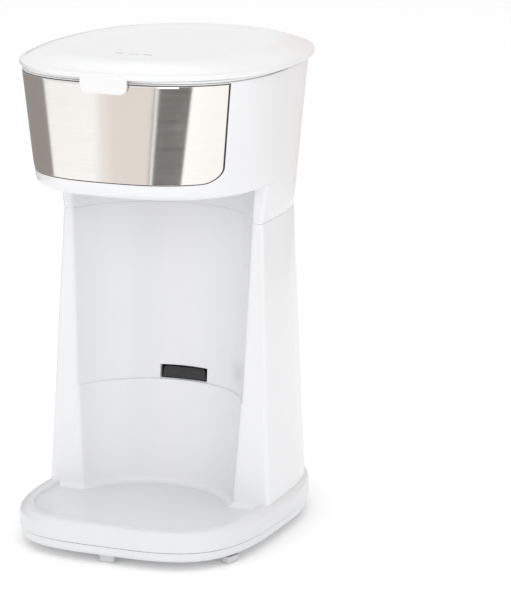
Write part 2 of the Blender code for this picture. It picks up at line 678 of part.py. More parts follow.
def lid_shell():
    """Domed lid with its flange, dish, vents, front tab and hinge knuckles."""
    z, rise = LID_BOTTOM, LID_RISE
    crown = z + rise
    lip = z + LID_LIP
    span = crown - lip
    outer = [lid_ring(0.0006, z), lid_ring(0.0, z + 0.0006), lid_ring(0.0, lip - 0.0008),
             lid_ring(0.0008, lip), lid_ring(0.0030, lip + 0.0002),
             lid_ring(0.0044, lip + 0.22 * span), lid_ring(0.0066, lip + 0.50 * span),
             lid_ring(0.0096, lip + 0.68 * span), lid_ring(0.0140, lip + 0.86 * span),
             lid_ring(0.0190, lip + 0.97 * span), dish_ring(0.0, crown),
             dish_ring(0.0030, crown - 0.35 * LID_DISH_DEPTH),
             dish_ring(0.0065, crown - 0.85 * LID_DISH_DEPTH),
             dish_ring(0.0100, crown - LID_DISH_DEPTH)]
    shell = loft("lid_shell", outer)
    ceiling = crown - LID_DISH_DEPTH - LID_WALL
    cut(shell, loft("hollow", [
        lid_ring(LID_WALL + 0.0010, z - 0.002), lid_ring(LID_WALL + 0.0012, z + 0.001),
        lid_ring(LID_WALL + 0.0046, lip + 0.0004),
        lid_ring(LID_WALL + 0.0105, ceiling)]))
    tab = rounded_outline([(-TAB_HALF_WIDTH, z + 0.0012), (-TAB_HALF_WIDTH, z - TAB_DROP),
                           (TAB_HALF_WIDTH, z - TAB_DROP), (TAB_HALF_WIDTH, z + 0.0012)],
                          [0.0, 0.0042, 0.0042, 0.0], 6)
    front = LID_FRONT + 0.0001
    join(shell, extruded("tab", tab, front, front + TAB_THICKNESS, "Y"))
    for k in (-1, 0, 1):
        cut(shell, vent_slot(k * VENT_PITCH))
    for side in (-1, 1):
        join(shell, hinge_ear("knuckle", side * LID_KNUCKLE_X, KNUCKLE_LENGTH, True))
        cut(shell, cylinder("bore", HINGE_PIN_RADIUS + RUNNING_GAP,
                            (side * (LID_KNUCKLE_X - 0.012), HINGE_Y, HINGE_Z),
                            (side * (LID_KNUCKLE_X + 0.012), HINGE_Y, HINGE_Z), 24))
    return finish_piece(shell, WHITE, 0.24)


def vent_slot(x):
    half, radius = 0.0024, 0.00065
    outline = rounded_outline([(x - half, VENT_Y - radius), (x + half, VENT_Y - radius),
                               (x + half, VENT_Y + radius), (x - half, VENT_Y + radius)],
                              [radius * 0.95] * 4, 4)
    return extruded("vent", outline, LID_BOTTOM - 0.001, LID_BOTTOM + LID_RISE + 0.003, "Z")


def hinge_pin():
    reach = LID_KNUCKLE_X + KNUCKLE_LENGTH / 2 + 0.0008
    pin = cylinder("hinge_pin", HINGE_PIN_RADIUS, (-reach, HINGE_Y, HINGE_Z),
                   (reach, HINGE_Y, HINGE_Z), 24)
    return finish_piece(pin, (0.6, 0.6, 0.62), 0.25, 1.0)


def lid_seal():
    """Soft ring under the lid that meets the top edge of the head."""
    low, high = HEAD_TOP + GAP, LID_BOTTOM - GAP
    ring = loft("lid_seal", [head_ring(0.0004, low), head_ring(0.0008, high)])
    cut(ring, loft("core", [head_ring(WALL, low - 0.001), head_ring(WALL, high + 0.001)]))
    return finish_piece(ring, (0.78, 0.78, 0.78), 0.6)


def shower_plate():
    """Perforated plate under the lid that spreads the water over the coffee."""
    top = LID_BOTTOM + LID_RISE - LID_DISH_DEPTH - LID_WALL - GAP
    low = top - 0.0032
    plate = turned("shower_plate", [(0.0, low), (0.030, low), (0.031, low + 0.0006), (0.031, top),
                                    (0.0290, top), (0.0290, low + 0.0012), (0.0, low + 0.0012)],
                   (0.0, BREW_Y), 36)
    for ring_radius, holes in ((0.009, 6), (0.021, 12)):
        for k in range(holes):
            a = 2 * math.pi * (k + 0.37) / holes
            x, y = ring_radius * math.cos(a), BREW_Y + ring_radius * math.sin(a)
            cut(plate, cylinder("hole", 0.0011, (x, y, low - 0.001), (x, y, top + 0.001), 8))
    return finish_piece(plate, (0.82, 0.82, 0.82), 0.4)


def water_channel():
    """Covered trough under the lid from the riser outlet towards the shower plate."""
    top = LID_BOTTOM + LID_RISE - LID_DISH_DEPTH - LID_WALL - GAP
    start = Vector((RISER_X + 0.006, RISER_Y - 0.006))
    centre = Vector((0.0, BREW_Y))
    heading = (centre - start).normalized()
    side = Vector((-heading.y, heading.x)) * 0.0052
    end = centre - heading * (0.031 + GAP)
    outline = [tuple(start + side), tuple(end + side), tuple(end - side), tuple(start - side)]
    trough = extruded("water_channel", outline, top - 0.0032, top, "Z")
    side *= 0.72
    a, b = start + heading * 0.0012, end + heading * 0.002
    hollow = [tuple(a + side), tuple(b + side), tuple(b - side), tuple(a - side)]
    cut(trough, extruded("hollow", hollow, top - 0.0021, top + 0.001, "Z"))
    return finish_piece(trough, (0.80, 0.80, 0.80), 0.4)


# ---- brewing parts ------------------------------------------------------------------------
def brew_deck():
    """Plate inside the head that carries the basket and the tank."""
    top = DECK_LEVEL + DECK_THICKNESS
    deck = loft("brew_deck", [head_ring(WALL + GAP + 0.0002, DECK_LEVEL),
                              head_ring(WALL + GAP + 0.0002, top)])
    cut(deck, cylinder("basket_hole", BASKET_TOP_RADIUS + 0.0022, (0, BREW_Y, DECK_LEVEL - 0.01),
                       (0, BREW_Y, top + 0.01), 64))
    cut(deck, loft("tank_hole", [tank_ring(GAP + 0.0002, DECK_LEVEL - 0.01),
                                 tank_ring(GAP + 0.0002, top + 0.01)]))
    cut(deck, cylinder("riser_hole", WATER_PIPE_RADIUS + HOSE_WALL + GAP,
                       (RISER_X, RISER_Y, DECK_LEVEL - 0.01), (RISER_X, RISER_Y, top + 0.01), 24))
    return finish_piece(deck, (0.84, 0.84, 0.85), 0.35)


def rim_level():
    return DECK_LEVEL + DECK_THICKNESS + GAP


def basket_floor():
    return rim_level() + 0.002 - BASKET_DEPTH


def filter_basket():
    """Cup that hangs in the deck, with the drip nozzle through the head's floor."""
    rim, floor = rim_level(), basket_floor()
    top, wall = rim + 0.0020, BASKET_WALL
    profile = [(NOZZLE_BORE, HEAD_BOTTOM - 0.0015), (NOZZLE_RADIUS, HEAD_BOTTOM - 0.0015),
               (NOZZLE_RADIUS, floor - 0.0004), (BASKET_BOTTOM_RADIUS - 0.003, floor),
               (BASKET_BOTTOM_RADIUS, floor + 0.003), (BASKET_TOP_RADIUS, rim),
               (BASKET_RIM_RADIUS, rim), (BASKET_RIM_RADIUS, top),
               (BASKET_TOP_RADIUS - wall, top),
               (BASKET_BOTTOM_RADIUS - wall, floor + 0.0042), (BASKET_BOTTOM_RADIUS - 0.006, floor + wall),
               (NOZZLE_BORE, floor + wall - 0.0004)]
    return finish_piece(turned("filter_basket", profile, (0.0, BREW_Y), 44), (0.08, 0.08, 0.085), 0.45)


def filter_cup():
    """Permanent fine-mesh filter that stands in the basket."""
    rim, floor = rim_level(), basket_floor()
    inner_top = BASKET_TOP_RADIUS - BASKET_WALL - FILTER_GAP * 0.4
    inner_low = BASKET_BOTTOM_RADIUS - BASKET_WALL - FILTER_GAP
    low, high, wall = floor + 0.0060, rim + 0.0012, FILTER_WALL
    profile = [(0.0, low), (inner_low - 0.002, low), (inner_low, low + 0.002), (inner_top, high),
               (inner_top - wall, high), (inner_low - wall, low + 0.002 + wall),
               (inner_low - 0.002 - wall, low + wall), (0.0, low + wall)]
    cup = turned("filter_cup", profile, (0.0, BREW_Y), 36)
    return finish_piece(cup, (0.72, 0.66, 0.5), 0.35, 1.0)


def filter_frame():
    """Rim ring of the permanent filter with its lifting bow."""
    low = rim_level() + 0.0020 + GAP
    outer, inner = BASKET_TOP_RADIUS + 0.0015, BASKET_TOP_RADIUS - BASKET_WALL - 0.0046
    ring = turned("filter_frame", [(inner, low), (outer, low), (outer, low + 0.0013),
                                   (inner, low + 0.0018)], (0.0, BREW_Y), 44)
    mid = (outer + inner) / 2
    bow = [Vector((mid * math.cos(a), BREW_Y, low + 0.0004 + 0.0058 * math.sin(a)))
           for a in [math.pi * k / 14 for k in range(15)]]
    join(ring, swept("bow", bow, 0.0011, sides=8))
    return finish_piece(ring, (0.09, 0.09, 0.095), 0.45)


def water_tank():
    """Tank behind the basket with its rim on the deck and an outlet spigot."""
    rim = rim_level()
    tank = loft("water_tank", [
        tank_ring(-0.0030, TANK_BOTTOM), tank_ring(-0.0008, TANK_BOTTOM + 0.0016),
        tank_ring(0.0, TANK_BOTTOM + 0.005), tank_ring(0.0, rim), tank_ring(TANK_FLANGE, rim + 0.00005),
        tank_ring(TANK_FLANGE, rim + 0.0020)])
    join(tank, cylinder("spigot", 0.0045, (0, 0.054, TANK_BOTTOM - 0.009), (0, 0.054, TANK_BOTTOM + 0.001)))
    cut(tank, loft("inside", [
        tank_ring(-TANK_WALL - 0.0025, TANK_BOTTOM + TANK_WALL),
        tank_ring(-TANK_WALL, TANK_BOTTOM + TANK_WALL + 0.004), tank_ring(-TANK_WALL, rim + 0.005)]))
    cut(tank, cylinder("outlet", 0.0030, (0, 0.054, TANK_BOTTOM - 0.012), (0, 0.054, TANK_BOTTOM + 0.006)))
    return finish_piece(tank, (0.84, 0.85, 0.86), 0.3)


def check_valve():
    """One-way valve under the tank outlet, with a hose barb below."""
    top = TANK_BOTTOM - 0.009 - GAP
    profile = [(0.0022, top), (0.0062, top), (0.0062, top - 0.009), (0.0036, top - 0.010),
               (0.0036, top - 0.016), (0.0022, top - 0.016)]
    return finish_piece(turned("check_valve", profile, (0.0, 0.054), 28), (0.86, 0.85, 0.82), 0.5)


def valve_end():
    return TANK_BOTTOM - 0.009 - GAP - 0.016


def pipe_z():
    return HEATER_Z + WATER_PIPE_RISE


def pipe_reach():
    return HEATER_LENGTH / 2 + 0.009


def cold_hose():
    """Silicone hose from the valve down to the heater inlet."""
    z, reach = valve_end() - 3 * GAP, pipe_reach() + 3 * GAP
    points = [(0.0, 0.054, z), (0.0, 0.054, z - 0.008), (0.016, 0.055, z - 0.017),
              (0.040, 0.057, z - 0.020), (reach + 0.009, HEATER_Y, z - 0.027),
              (reach + 0.0095, HEATER_Y, pipe_z() + 0.009), (reach + 0.006, HEATER_Y, pipe_z() + 0.001),
              (reach, HEATER_Y, pipe_z())]
    hose = swept("cold_hose", smooth_path(points, 30), WATER_PIPE_RADIUS + HOSE_WALL,
                 WATER_PIPE_BORE, 10)
    return finish_piece(hose, (0.80, 0.80, 0.78), 0.55)


def riser_hose():
    """Hose from the heater outlet up beside the tank to the deck."""
    reach = pipe_reach() + 3 * GAP
    top = rim_level() + 0.004
    points = [(-reach, HEATER_Y, pipe_z()), (-reach - 0.005, HEATER_Y, pipe_z() + 0.0015),
              (-reach - 0.0095, HEATER_Y - 0.001, pipe_z() + 0.012),
              (RISER_X + 0.003, RISER_Y + 0.008, pipe_z() + 0.040), (RISER_X, RISER_Y, pipe_z() + 0.075),
              (RISER_X, RISER_Y, 0.190), (RISER_X, RISER_Y, 0.230), (RISER_X, RISER_Y, top)]
    hose = swept("riser_hose", smooth_path(points, 34), WATER_PIPE_RADIUS + HOSE_WALL - 0.0004,
                 WATER_PIPE_BORE, 10)
    return finish_piece(hose, (0.80, 0.80, 0.78), 0.55)


def heater_block():
    """Cast block that clamps the water pipe and the heating rod together."""
    half, deep, tall = HEATER_LENGTH / 2, HEATER_DEPTH / 2, HEATER_HEIGHT / 2
    block = box("heater_block", (-half, HEATER_Y - deep, HEATER_Z - tall),
                (half, HEATER_Y + deep, HEATER_Z + tall), 0.003, 3)
    for z, radius in ((pipe_z(), WATER_PIPE_RADIUS), (HEATER_Z - ELEMENT_DROP, ELEMENT_RADIUS)):
        cut(block, cylinder("bore", radius + GAP, (-half - 0.01, HEATER_Y, z), (half + 0.01, HEATER_Y, z)))
    return finish_piece(block, (0.72, 0.72, 0.73), 0.45, 1.0)


def heater_pipes():
    """Water pipe and sheathed heating rod through the block."""
    reach = pipe_reach()
    pipe = turned_along_x("water_pipe", [(WATER_PIPE_BORE, -reach), (WATER_PIPE_RADIUS, -reach),
                                         (WATER_PIPE_RADIUS, reach), (WATER_PIPE_BORE, reach)], pipe_z())
    finish_piece(pipe, (0.7, 0.7, 0.71), 0.3, 1.0)
    long = HEATER_LENGTH / 2 + 0.007
    rod = turned_along_x("heating_element", [
        (0.0, -long - 0.006), (0.0012, -long - 0.006), (0.0012, -long), (ELEMENT_RADIUS, -long),
        (ELEMENT_RADIUS, long), (0.0012, long), (0.0012, long + 0.006), (0.0, long + 0.006)],
        HEATER_Z - ELEMENT_DROP)
    finish_piece(rod, (0.45, 0.44, 0.43), 0.5, 1.0)


def turned_along_x(name, profile, z):
    """Turned piece on an axis along X through the heater."""
    obj = turned(name, profile, (0.0, 0.0), 20)
    turn = Matrix.Translation((0.0, HEATER_Y, z)) @ Matrix.Rotation(math.radians(90), 4, "Y")
    obj.data.transform(turn)
    return obj


def thermostat():
    back = HEATER_Y + HEATER_DEPTH / 2 + GAP
    body = turned("thermostat", [(0.0, 0.0), (0.0085, 0.0), (0.0085, 0.0045), (0.0068, 0.0052),
                                 (0.0068, 0.0100), (0.0, 0.0100)], (0.0, 0.0), 32)
    body.data.transform(Matrix.Translation((-0.014, back, HEATER_Z)) @ Matrix.Rotation(math.radians(-90), 4, "X"))
    return finish_piece(body, (0.12, 0.12, 0.13), 0.4)


def thermal_fuse():
    back = HEATER_Y + HEATER_DEPTH / 2 + GAP
    body = turned("thermal_fuse", [(0.0, -0.010), (0.0007, -0.010), (0.0007, -0.0055), (0.0019, -0.0050),
                                   (0.0019, 0.0050), (0.0007, 0.0055), (0.0007, 0.010), (0.0, 0.010)],
                  (0.0, 0.0), 20)
    body.data.transform(Matrix.Translation((0.014, back + 0.0021, HEATER_Z + 0.006))
                        @ Matrix.Rotation(math.radians(90), 4, "Y"))
    return finish_piece(body, (0.75, 0.68, 0.5), 0.35, 1.0)


def heater_bracket():
    """Pressed steel saddle that holds the block off the bottom cover."""
    top = HEATER_Z - HEATER_HEIGHT / 2 - GAP
    half, deep, thick = HEATER_LENGTH / 2 - 0.006, HEATER_DEPTH / 2 - 0.001, 0.0012
    foot_top = FOOT_HEIGHT + 0.0017 + GAP + thick
    saddle = box("heater_bracket", (-half, HEATER_Y - deep, top - thick), (half, HEATER_Y + deep, top))
    for side in (-1, 1):
        x = side * half
        low, high = min(x, x - side * thick), max(x, x - side * thick)
        join(saddle, box("leg", (low, HEATER_Y - deep, foot_top - thick),
                         (high, HEATER_Y + deep, top - thick / 2)))
        low, high = min(x - side * thick / 2, x - side * 0.011), max(x - side * thick / 2, x - side * 0.011)
        join(saddle, box("toe", (low, HEATER_Y - deep, foot_top - thick), (high, HEATER_Y + deep, foot_top)))
    return finish_piece(saddle, (0.66, 0.67, 0.68), 0.4, 1.0)


# ---- brew paddle and wiring ---------------------------------------------------------------
def paddle_base():
    return LEDGE + 0.0002 + RUNNING_GAP


def paddle_face():
    return bay_back(paddle_base() + PADDLE_HEIGHT / 2) - PADDLE_PROUD


def brew_paddle():
    """Black push paddle in the bay wall, with its retaining flange behind the wall."""
    z, face = paddle_base(), paddle_face()
    outline = rounded_outline([(-PADDLE_HALF_WIDTH, z), (PADDLE_HALF_WIDTH, z),
                               (PADDLE_TOP_HALF_WIDTH, z + PADDLE_HEIGHT),
                               (-PADDLE_TOP_HALF_WIDTH, z + PADDLE_HEIGHT)],
                              [0.0005, 0.0005, 0.0012, 0.0012], 4)
    paddle = extruded("brew_paddle", outline, face, flange_front() + 0.0006, "Y")
    grow = PADDLE_FLANGE
    join(paddle, box("flange", (-PADDLE_HALF_WIDTH - grow, flange_front(), z - grow),
                     (PADDLE_HALF_WIDTH + grow, flange_front() + 0.0016, z + PADDLE_HEIGHT + grow)))
    join(paddle, cylinder("stem", 0.0017, (0, flange_front() + 0.001, spring_z()),
                          (0, flange_front() + 0.0060, spring_z()), 20))
    return finish_piece(paddle, (0.02, 0.02, 0.022), 0.4)


def flange_front():
    """Front of the paddle's flange, just behind the sloping bay wall."""
    return bay_back(paddle_base() + PADDLE_HEIGHT + PADDLE_FLANGE) + WALL + 2 * GAP


def spring_z():
    return paddle_base() + PADDLE_HEIGHT / 2


def switch_face():
    return flange_front() + 0.0016 + GAP + SPRING_WIRE * 2 + 0.0080


def paddle_spring():
    start, stop = flange_front() + 0.0016 + GAP + SPRING_WIRE, switch_face() - GAP - SPRING_WIRE
    steps = SPRING_TURNS * 10
    path = []
    for k in range(steps + 1):
        a = 2 * math.pi * SPRING_TURNS * k / steps
        path.append(Vector((SPRING_RADIUS * math.cos(a), lerp(start, stop, k / steps),
                            spring_z() + SPRING_RADIUS * math.sin(a))))
    return finish_piece(swept("paddle_spring", path, SPRING_WIRE, sides=6), (0.6, 0.6, 0.6), 0.3, 1.0)


def microswitch():
    """Snap switch behind the paddle, and the bracket that carries it."""
    face, z = switch_face(), spring_z()
    body = box("microswitch", (-0.0098, face, z - 0.0050), (0.0098, face + 0.0062, z + 0.0052), 0.0006, 2)
    join(body, box("plunger", (-0.0078, face - 0.0012, z - 0.0012), (-0.0054, face + 0.001, z + 0.0012)))
    for x in (-0.0070, 0.0, 0.0070):
        join(body, box("tag", (x - 0.0014, face + 0.0055, z - 0.0003), (x + 0.0014, face + 0.0105, z + 0.0003)))
    finish_piece(body, (0.1, 0.1, 0.11), 0.5)
    low = z - 0.0050 - GAP
    carrier = box("switch_bracket", (-0.0150, face - 0.0004, low - 0.0016), (0.0150, face + 0.0070, low))
    for side in (-1, 1):
        join(carrier, box("cheek", (side * 0.0125 - 0.0025, face - 0.0004, low - 0.001),
                          (side * 0.0125 + 0.0025, face + 0.0070, z + 0.0052)))
    return finish_piece(carrier, (0.82, 0.82, 0.82), 0.5)


def wiring():
    """Terminal block, cord gland and the leads between the electrical pieces."""
    block = box("terminal_block", (0.0235, 0.050, 0.0148), (0.0455, 0.062, 0.0245), 0.0008, 2)
    for k in range(3):
        x = 0.0275 + 0.0070 * k
        cut(block, cylinder("way", 0.0016, (x, 0.044, 0.0180), (x, 0.068, 0.0180), 12))
        cut(block, cylinder("screw_hole", 0.0013, (x, 0.056, 0.0190), (x, 0.056, 0.0260), 12))
    finish_piece(block, (0.88, 0.87, 0.82), 0.5)
    radius, collar, lip = GLAND_RADIUS - GAP, 0.0010, 0.0018
    inner = gland_y() - WALL - collar
    gland = turned("cord_gland", [(0.0036, 0.0), (radius + lip, 0.0), (radius + lip, -0.0016),
                                  (radius, -0.0016), (radius, -0.0016 - WALL - 2 * collar),
                                  (radius - 0.0004, -0.0016 - WALL - 2 * collar - 0.0014),
                                  (0.0036, -0.0016 - WALL - 2 * collar - 0.0014)], (0.0, 0.0), 24)
    gland.data.transform(Matrix.Translation((GLAND_X, inner - 0.0016, GLAND_Z))
                         @ Matrix.Rotation(math.radians(90), 4, "X"))
    finish_piece(gland, (0.05, 0.05, 0.055), 0.6)
    face, z = switch_face(), spring_z()
    lead = [(0.0070, face + 0.0115, z), (0.0085, face + 0.0135, z - 0.003), (0.018, 0.0425, z - 0.012),
            (0.036, 0.041, z - 0.026), (0.046, 0.044, 0.048), (0.0475, 0.058, 0.034),
            (0.0455, 0.067, 0.0255), (0.0422, 0.068, 0.0190), (0.0415, 0.0623, 0.0180)]
    finish_piece(swept("switch_lead", smooth_path(lead, 30), 0.0011, sides=6), (0.1, 0.1, 0.1), 0.5)
    reach, z = HEATER_LENGTH / 2 + 0.0135, HEATER_Z - ELEMENT_DROP
    lead = [(-reach, HEATER_Y, z), (-reach - 0.004, HEATER_Y, z - 0.003), (-reach - 0.004, 0.064, 0.026),
            (-0.030, 0.073, 0.0150), (-0.008, 0.0745, 0.0150), (0.012, 0.0745, 0.0160),
            (0.0245, 0.0710, 0.0178), (0.0275, 0.0665, 0.0180), (0.0275, 0.0623, 0.0180)]
    finish_piece(swept("heater_lead", smooth_path(lead, 28), 0.0011, sides=6), (0.55, 0.10, 0.08), 0.5)


def gland_y():
    """Outer end of the gland on the sloping rear wall."""
    t = (SEAM - GLAND_Z) / (SEAM - COLUMN_FOOT)
    return lerp(SEAM_BACK, BASE_BACK - 0.0006, t)


def joint_axis(name, place, riders):
    """Empty on a joint's axis; the riders hang from it without moving."""
    empty = bpy.data.objects.new(name, None)
    empty.location = place
    empty.empty_display_size = 0.01
    bpy.context.scene.collection.objects.link(empty)
    for rider in riders:
        piece = bpy.data.objects[rider]
        piece.parent = empty
        piece.matrix_parent_inverse = Matrix.Translation(place).inverted()
    return empty


def joint_axes():
    joint_axis("lid_axis", Vector((0.0, HINGE_Y, HINGE_Z)),
               ("lid_shell", "lid_seal", "shower_plate", "water_channel"))
    joint_axis("basket_axis", Vector((0.0, BREW_Y, DECK_LEVEL)),
               ("filter_basket", "filter_cup", "filter_frame"))
    joint_axis("paddle_axis", Vector((0.0, bay_back(LEDGE), LEDGE + PADDLE_HEIGHT / 2)),
               ("brew_paddle",))


def main():
    clear_scene()
    lower_housing()
    upper_housing()
    steel_fascia()
    bottom_cover()
    feet()
    cover_screws()
    lid_shell()
    hinge_pin()
    lid_seal()
    shower_plate()
    water_channel()
    brew_deck()
    filter_basket()
    filter_cup()
    filter_frame()
    water_tank()
    check_valve()
    cold_hose()
    riser_hose()
    heater_block()
    heater_pipes()
    thermostat()
    thermal_fuse()
    heater_bracket()
    brew_paddle()
    paddle_spring()
    microswitch()
    wiring()
    joint_axes()


main()
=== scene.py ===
"""Visual model of a single-serve drip coffee maker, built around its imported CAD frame.

Every length is in metres, +Z is up and the front of the machine faces -Y.
"""
from __future__ import annotations

import logging
import math
from dataclasses import dataclass
from enum import Enum

import bmesh
import bpy
import numpy as np
from mathutils import Euler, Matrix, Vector

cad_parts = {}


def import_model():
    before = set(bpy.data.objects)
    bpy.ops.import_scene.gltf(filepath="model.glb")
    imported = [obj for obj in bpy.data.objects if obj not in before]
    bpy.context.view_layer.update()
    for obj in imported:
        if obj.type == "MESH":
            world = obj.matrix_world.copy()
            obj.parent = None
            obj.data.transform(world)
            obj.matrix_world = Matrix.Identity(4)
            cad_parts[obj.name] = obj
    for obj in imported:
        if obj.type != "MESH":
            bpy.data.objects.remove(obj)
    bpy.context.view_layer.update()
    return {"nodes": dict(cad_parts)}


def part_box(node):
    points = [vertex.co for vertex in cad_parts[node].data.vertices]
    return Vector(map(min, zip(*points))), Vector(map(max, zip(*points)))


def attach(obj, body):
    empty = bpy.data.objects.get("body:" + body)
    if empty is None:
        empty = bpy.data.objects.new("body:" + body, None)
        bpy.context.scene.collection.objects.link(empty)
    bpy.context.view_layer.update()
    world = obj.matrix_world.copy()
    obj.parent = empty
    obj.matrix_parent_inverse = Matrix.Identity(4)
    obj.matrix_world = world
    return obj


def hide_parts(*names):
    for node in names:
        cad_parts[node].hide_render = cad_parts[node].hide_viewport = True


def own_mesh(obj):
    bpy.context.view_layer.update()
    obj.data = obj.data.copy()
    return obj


LOG = logging.getLogger("coffee_maker")

GAP = 0.0003                # clearance between two parts of the casing
SEAM_SLIT = 0.00006         # half the slit between the two housings
WALL = 0.0025               # wall of the two housings
TAPER_REACH = 0.0933        # distance from the middle over which a taper is counted
OUTLINE_STEPS = 6000        # angles at which an outline is worked out before it is resampled
OUTER_POINTS = 230          # points round the back of a ring that is joined from two runs
INNER_POINTS = 290          # points round its front
SMOOTH_ANGLE = 32.0         # degrees; a sharper edge stays sharp


class Body(Enum):
    """The bodies of the frame."""

    MACHINE = "machine"
    LID = "lid"
    BASKET = "basket"
    PADDLE = "paddle"


# ---- curves and grids -----------------------------------------------------------------------
def lerp(a: float, b: float, t: float) -> float:
    """Straight-line value between a and b."""
    return a + (b - a) * t


def signed_power(values: np.ndarray, power: float | np.ndarray) -> np.ndarray:
    """Sign of each value times its size raised to a power."""
    return np.sign(values) * np.abs(values) ** power


def resample(points: np.ndarray, count: int, closed: bool = False) -> np.ndarray:
    """Points at equal arc length along a polyline.

    Args:
        points: polyline, one row per point.
        count: how many points come back.
        closed: whether the last point joins the first.

    Returns:
        The new points, without a repeated end point when closed.
    """
    if closed:
        points = np.vstack([points, points[:1]])
    run = np.concatenate([[0.0], np.cumsum(np.linalg.norm(np.diff(points, axis=0), axis=1))])
    wanted = np.linspace(0.0, run[-1], count + 1 if closed else count)
    if closed:
        wanted = wanted[:-1]
    return np.stack([np.interp(wanted, run, points[:, k]) for k in range(points.shape[1])], -1)


def at_level(points: np.ndarray, z: float) -> np.ndarray:
    """Plan points lifted to a level."""
    return np.column_stack([points, np.full(len(points), z)])


def smooth_rise(t: np.ndarray | float) -> np.ndarray | float:
    """Smoothstep of t between 0 and 1."""
    return t * t * (3.0 - 2.0 * t)


@dataclass(frozen=True)
class Oval:
    """A plan outline: a superellipse with its own exponent in front and behind, and a taper."""

    half_width: float
    front: float
    back: float
    mid: float
    front_power: float
    back_power: float
    taper: float = 0.0

    def inset(self, pull: float, front_pull: float | None = None) -> Oval:
        """The outline moved inwards.

        Args:
            pull: distance inwards at the sides and the back.
            front_pull: distance inwards at the front, the same as pull when left out.

        Returns:
            The smaller outline.
        """
        ahead = pull if front_pull is None else front_pull
        return Oval(self.half_width - pull, self.front + ahead, self.back - pull, self.mid,
                    self.front_power, self.back_power, self.taper)

    def plan(self, turn: np.ndarray) -> np.ndarray:
        """Points at the given angles.

        x = half_width |cos|^(2/n) and y = reach |sin|^(2/n), each with its sign, and x then
        grows or shrinks in proportion to y by the taper.

        Args:
            turn: angles anticlockwise from +X, in radians.

        Returns:
            One row of x and y for each angle.
        """
        c, s = np.cos(turn), np.sin(turn)
        power = np.where(s < 0.0, self.front_power, self.back_power)
        reach = np.where(s < 0.0, self.mid - self.front, self.back - self.mid)
        x = self.half_width * signed_power(c, 2.0 / power)
        y = self.mid + reach * signed_power(s, 2.0 / power)
        return np.stack([x * (1.0 + self.taper * y / TAPER_REACH), y], -1)

    def whole(self) -> np.ndarray:
        """The closed outline at evenly spaced angles."""
        return self.plan(np.linspace(0, 2 * math.pi, OUTLINE_STEPS + 1)[:-1])

    def ring(self, z: float, count: int) -> np.ndarray:
        """Closed ring of evenly spaced points at a level."""
        return at_level(resample(self.whole(), count, True), z)

    def facing(self, guide: np.ndarray, centre_y: float, z: float) -> np.ndarray:
        """Ring at a level whose points lie in the same directions from a centre as a guide ring's.

        The bearing of each guide point is looked up among the outline's own bearings.

        Args:
            guide: the ring that sets the directions.
            centre_y: y of the centre, which has x = 0.
            z: level of the new ring.

        Returns:
            One point for each point of the guide.
        """
        own = self.whole()
        bearings = np.arctan2(own[:, 1] - centre_y, own[:, 0])
        wanted = np.arctan2(guide[:, 1] - centre_y, guide[:, 0])
        x, y = (np.interp(wanted, bearings, own[:, k], period=2 * math.pi) for k in (0, 1))
        return at_level(np.stack([x, y], -1), z)

    def halves(self, split: float) -> tuple[np.ndarray, np.ndarray]:
        """The outline cut where y equals split.

        Args:
            split: y of the cut.

        Returns:
            The part behind the split from right to left, and the part in front from left to right.
        """
        turn = np.linspace(-math.pi / 2, 1.5 * math.pi, 8001)
        points = self.plan(turn)
        behind = points[:, 1] > split
        first, last = np.argmax(behind), len(behind) - 1 - np.argmax(behind[::-1])
        ahead = np.vstack([points[last:-1], points[:first + 1]])
        return points[first:last + 1], ahead

    def front_y(self, x: np.ndarray) -> np.ndarray:
        """Front surface y at each x, solved by repeating the taper correction.

        Args:
            x: places across the front.

        Returns:
            The y of the outline at each place.
        """
        y = np.full_like(x, self.front)
        for _ in range(12):
            share = np.abs(x) / (self.half_width * (1.0 + self.taper * y / TAPER_REACH))
            share = np.clip(share, 0.0, 0.9999)
            y = self.mid - (self.mid - self.front) * (1 - share ** self.front_power) ** (
                1.0 / self.front_power)
        return y


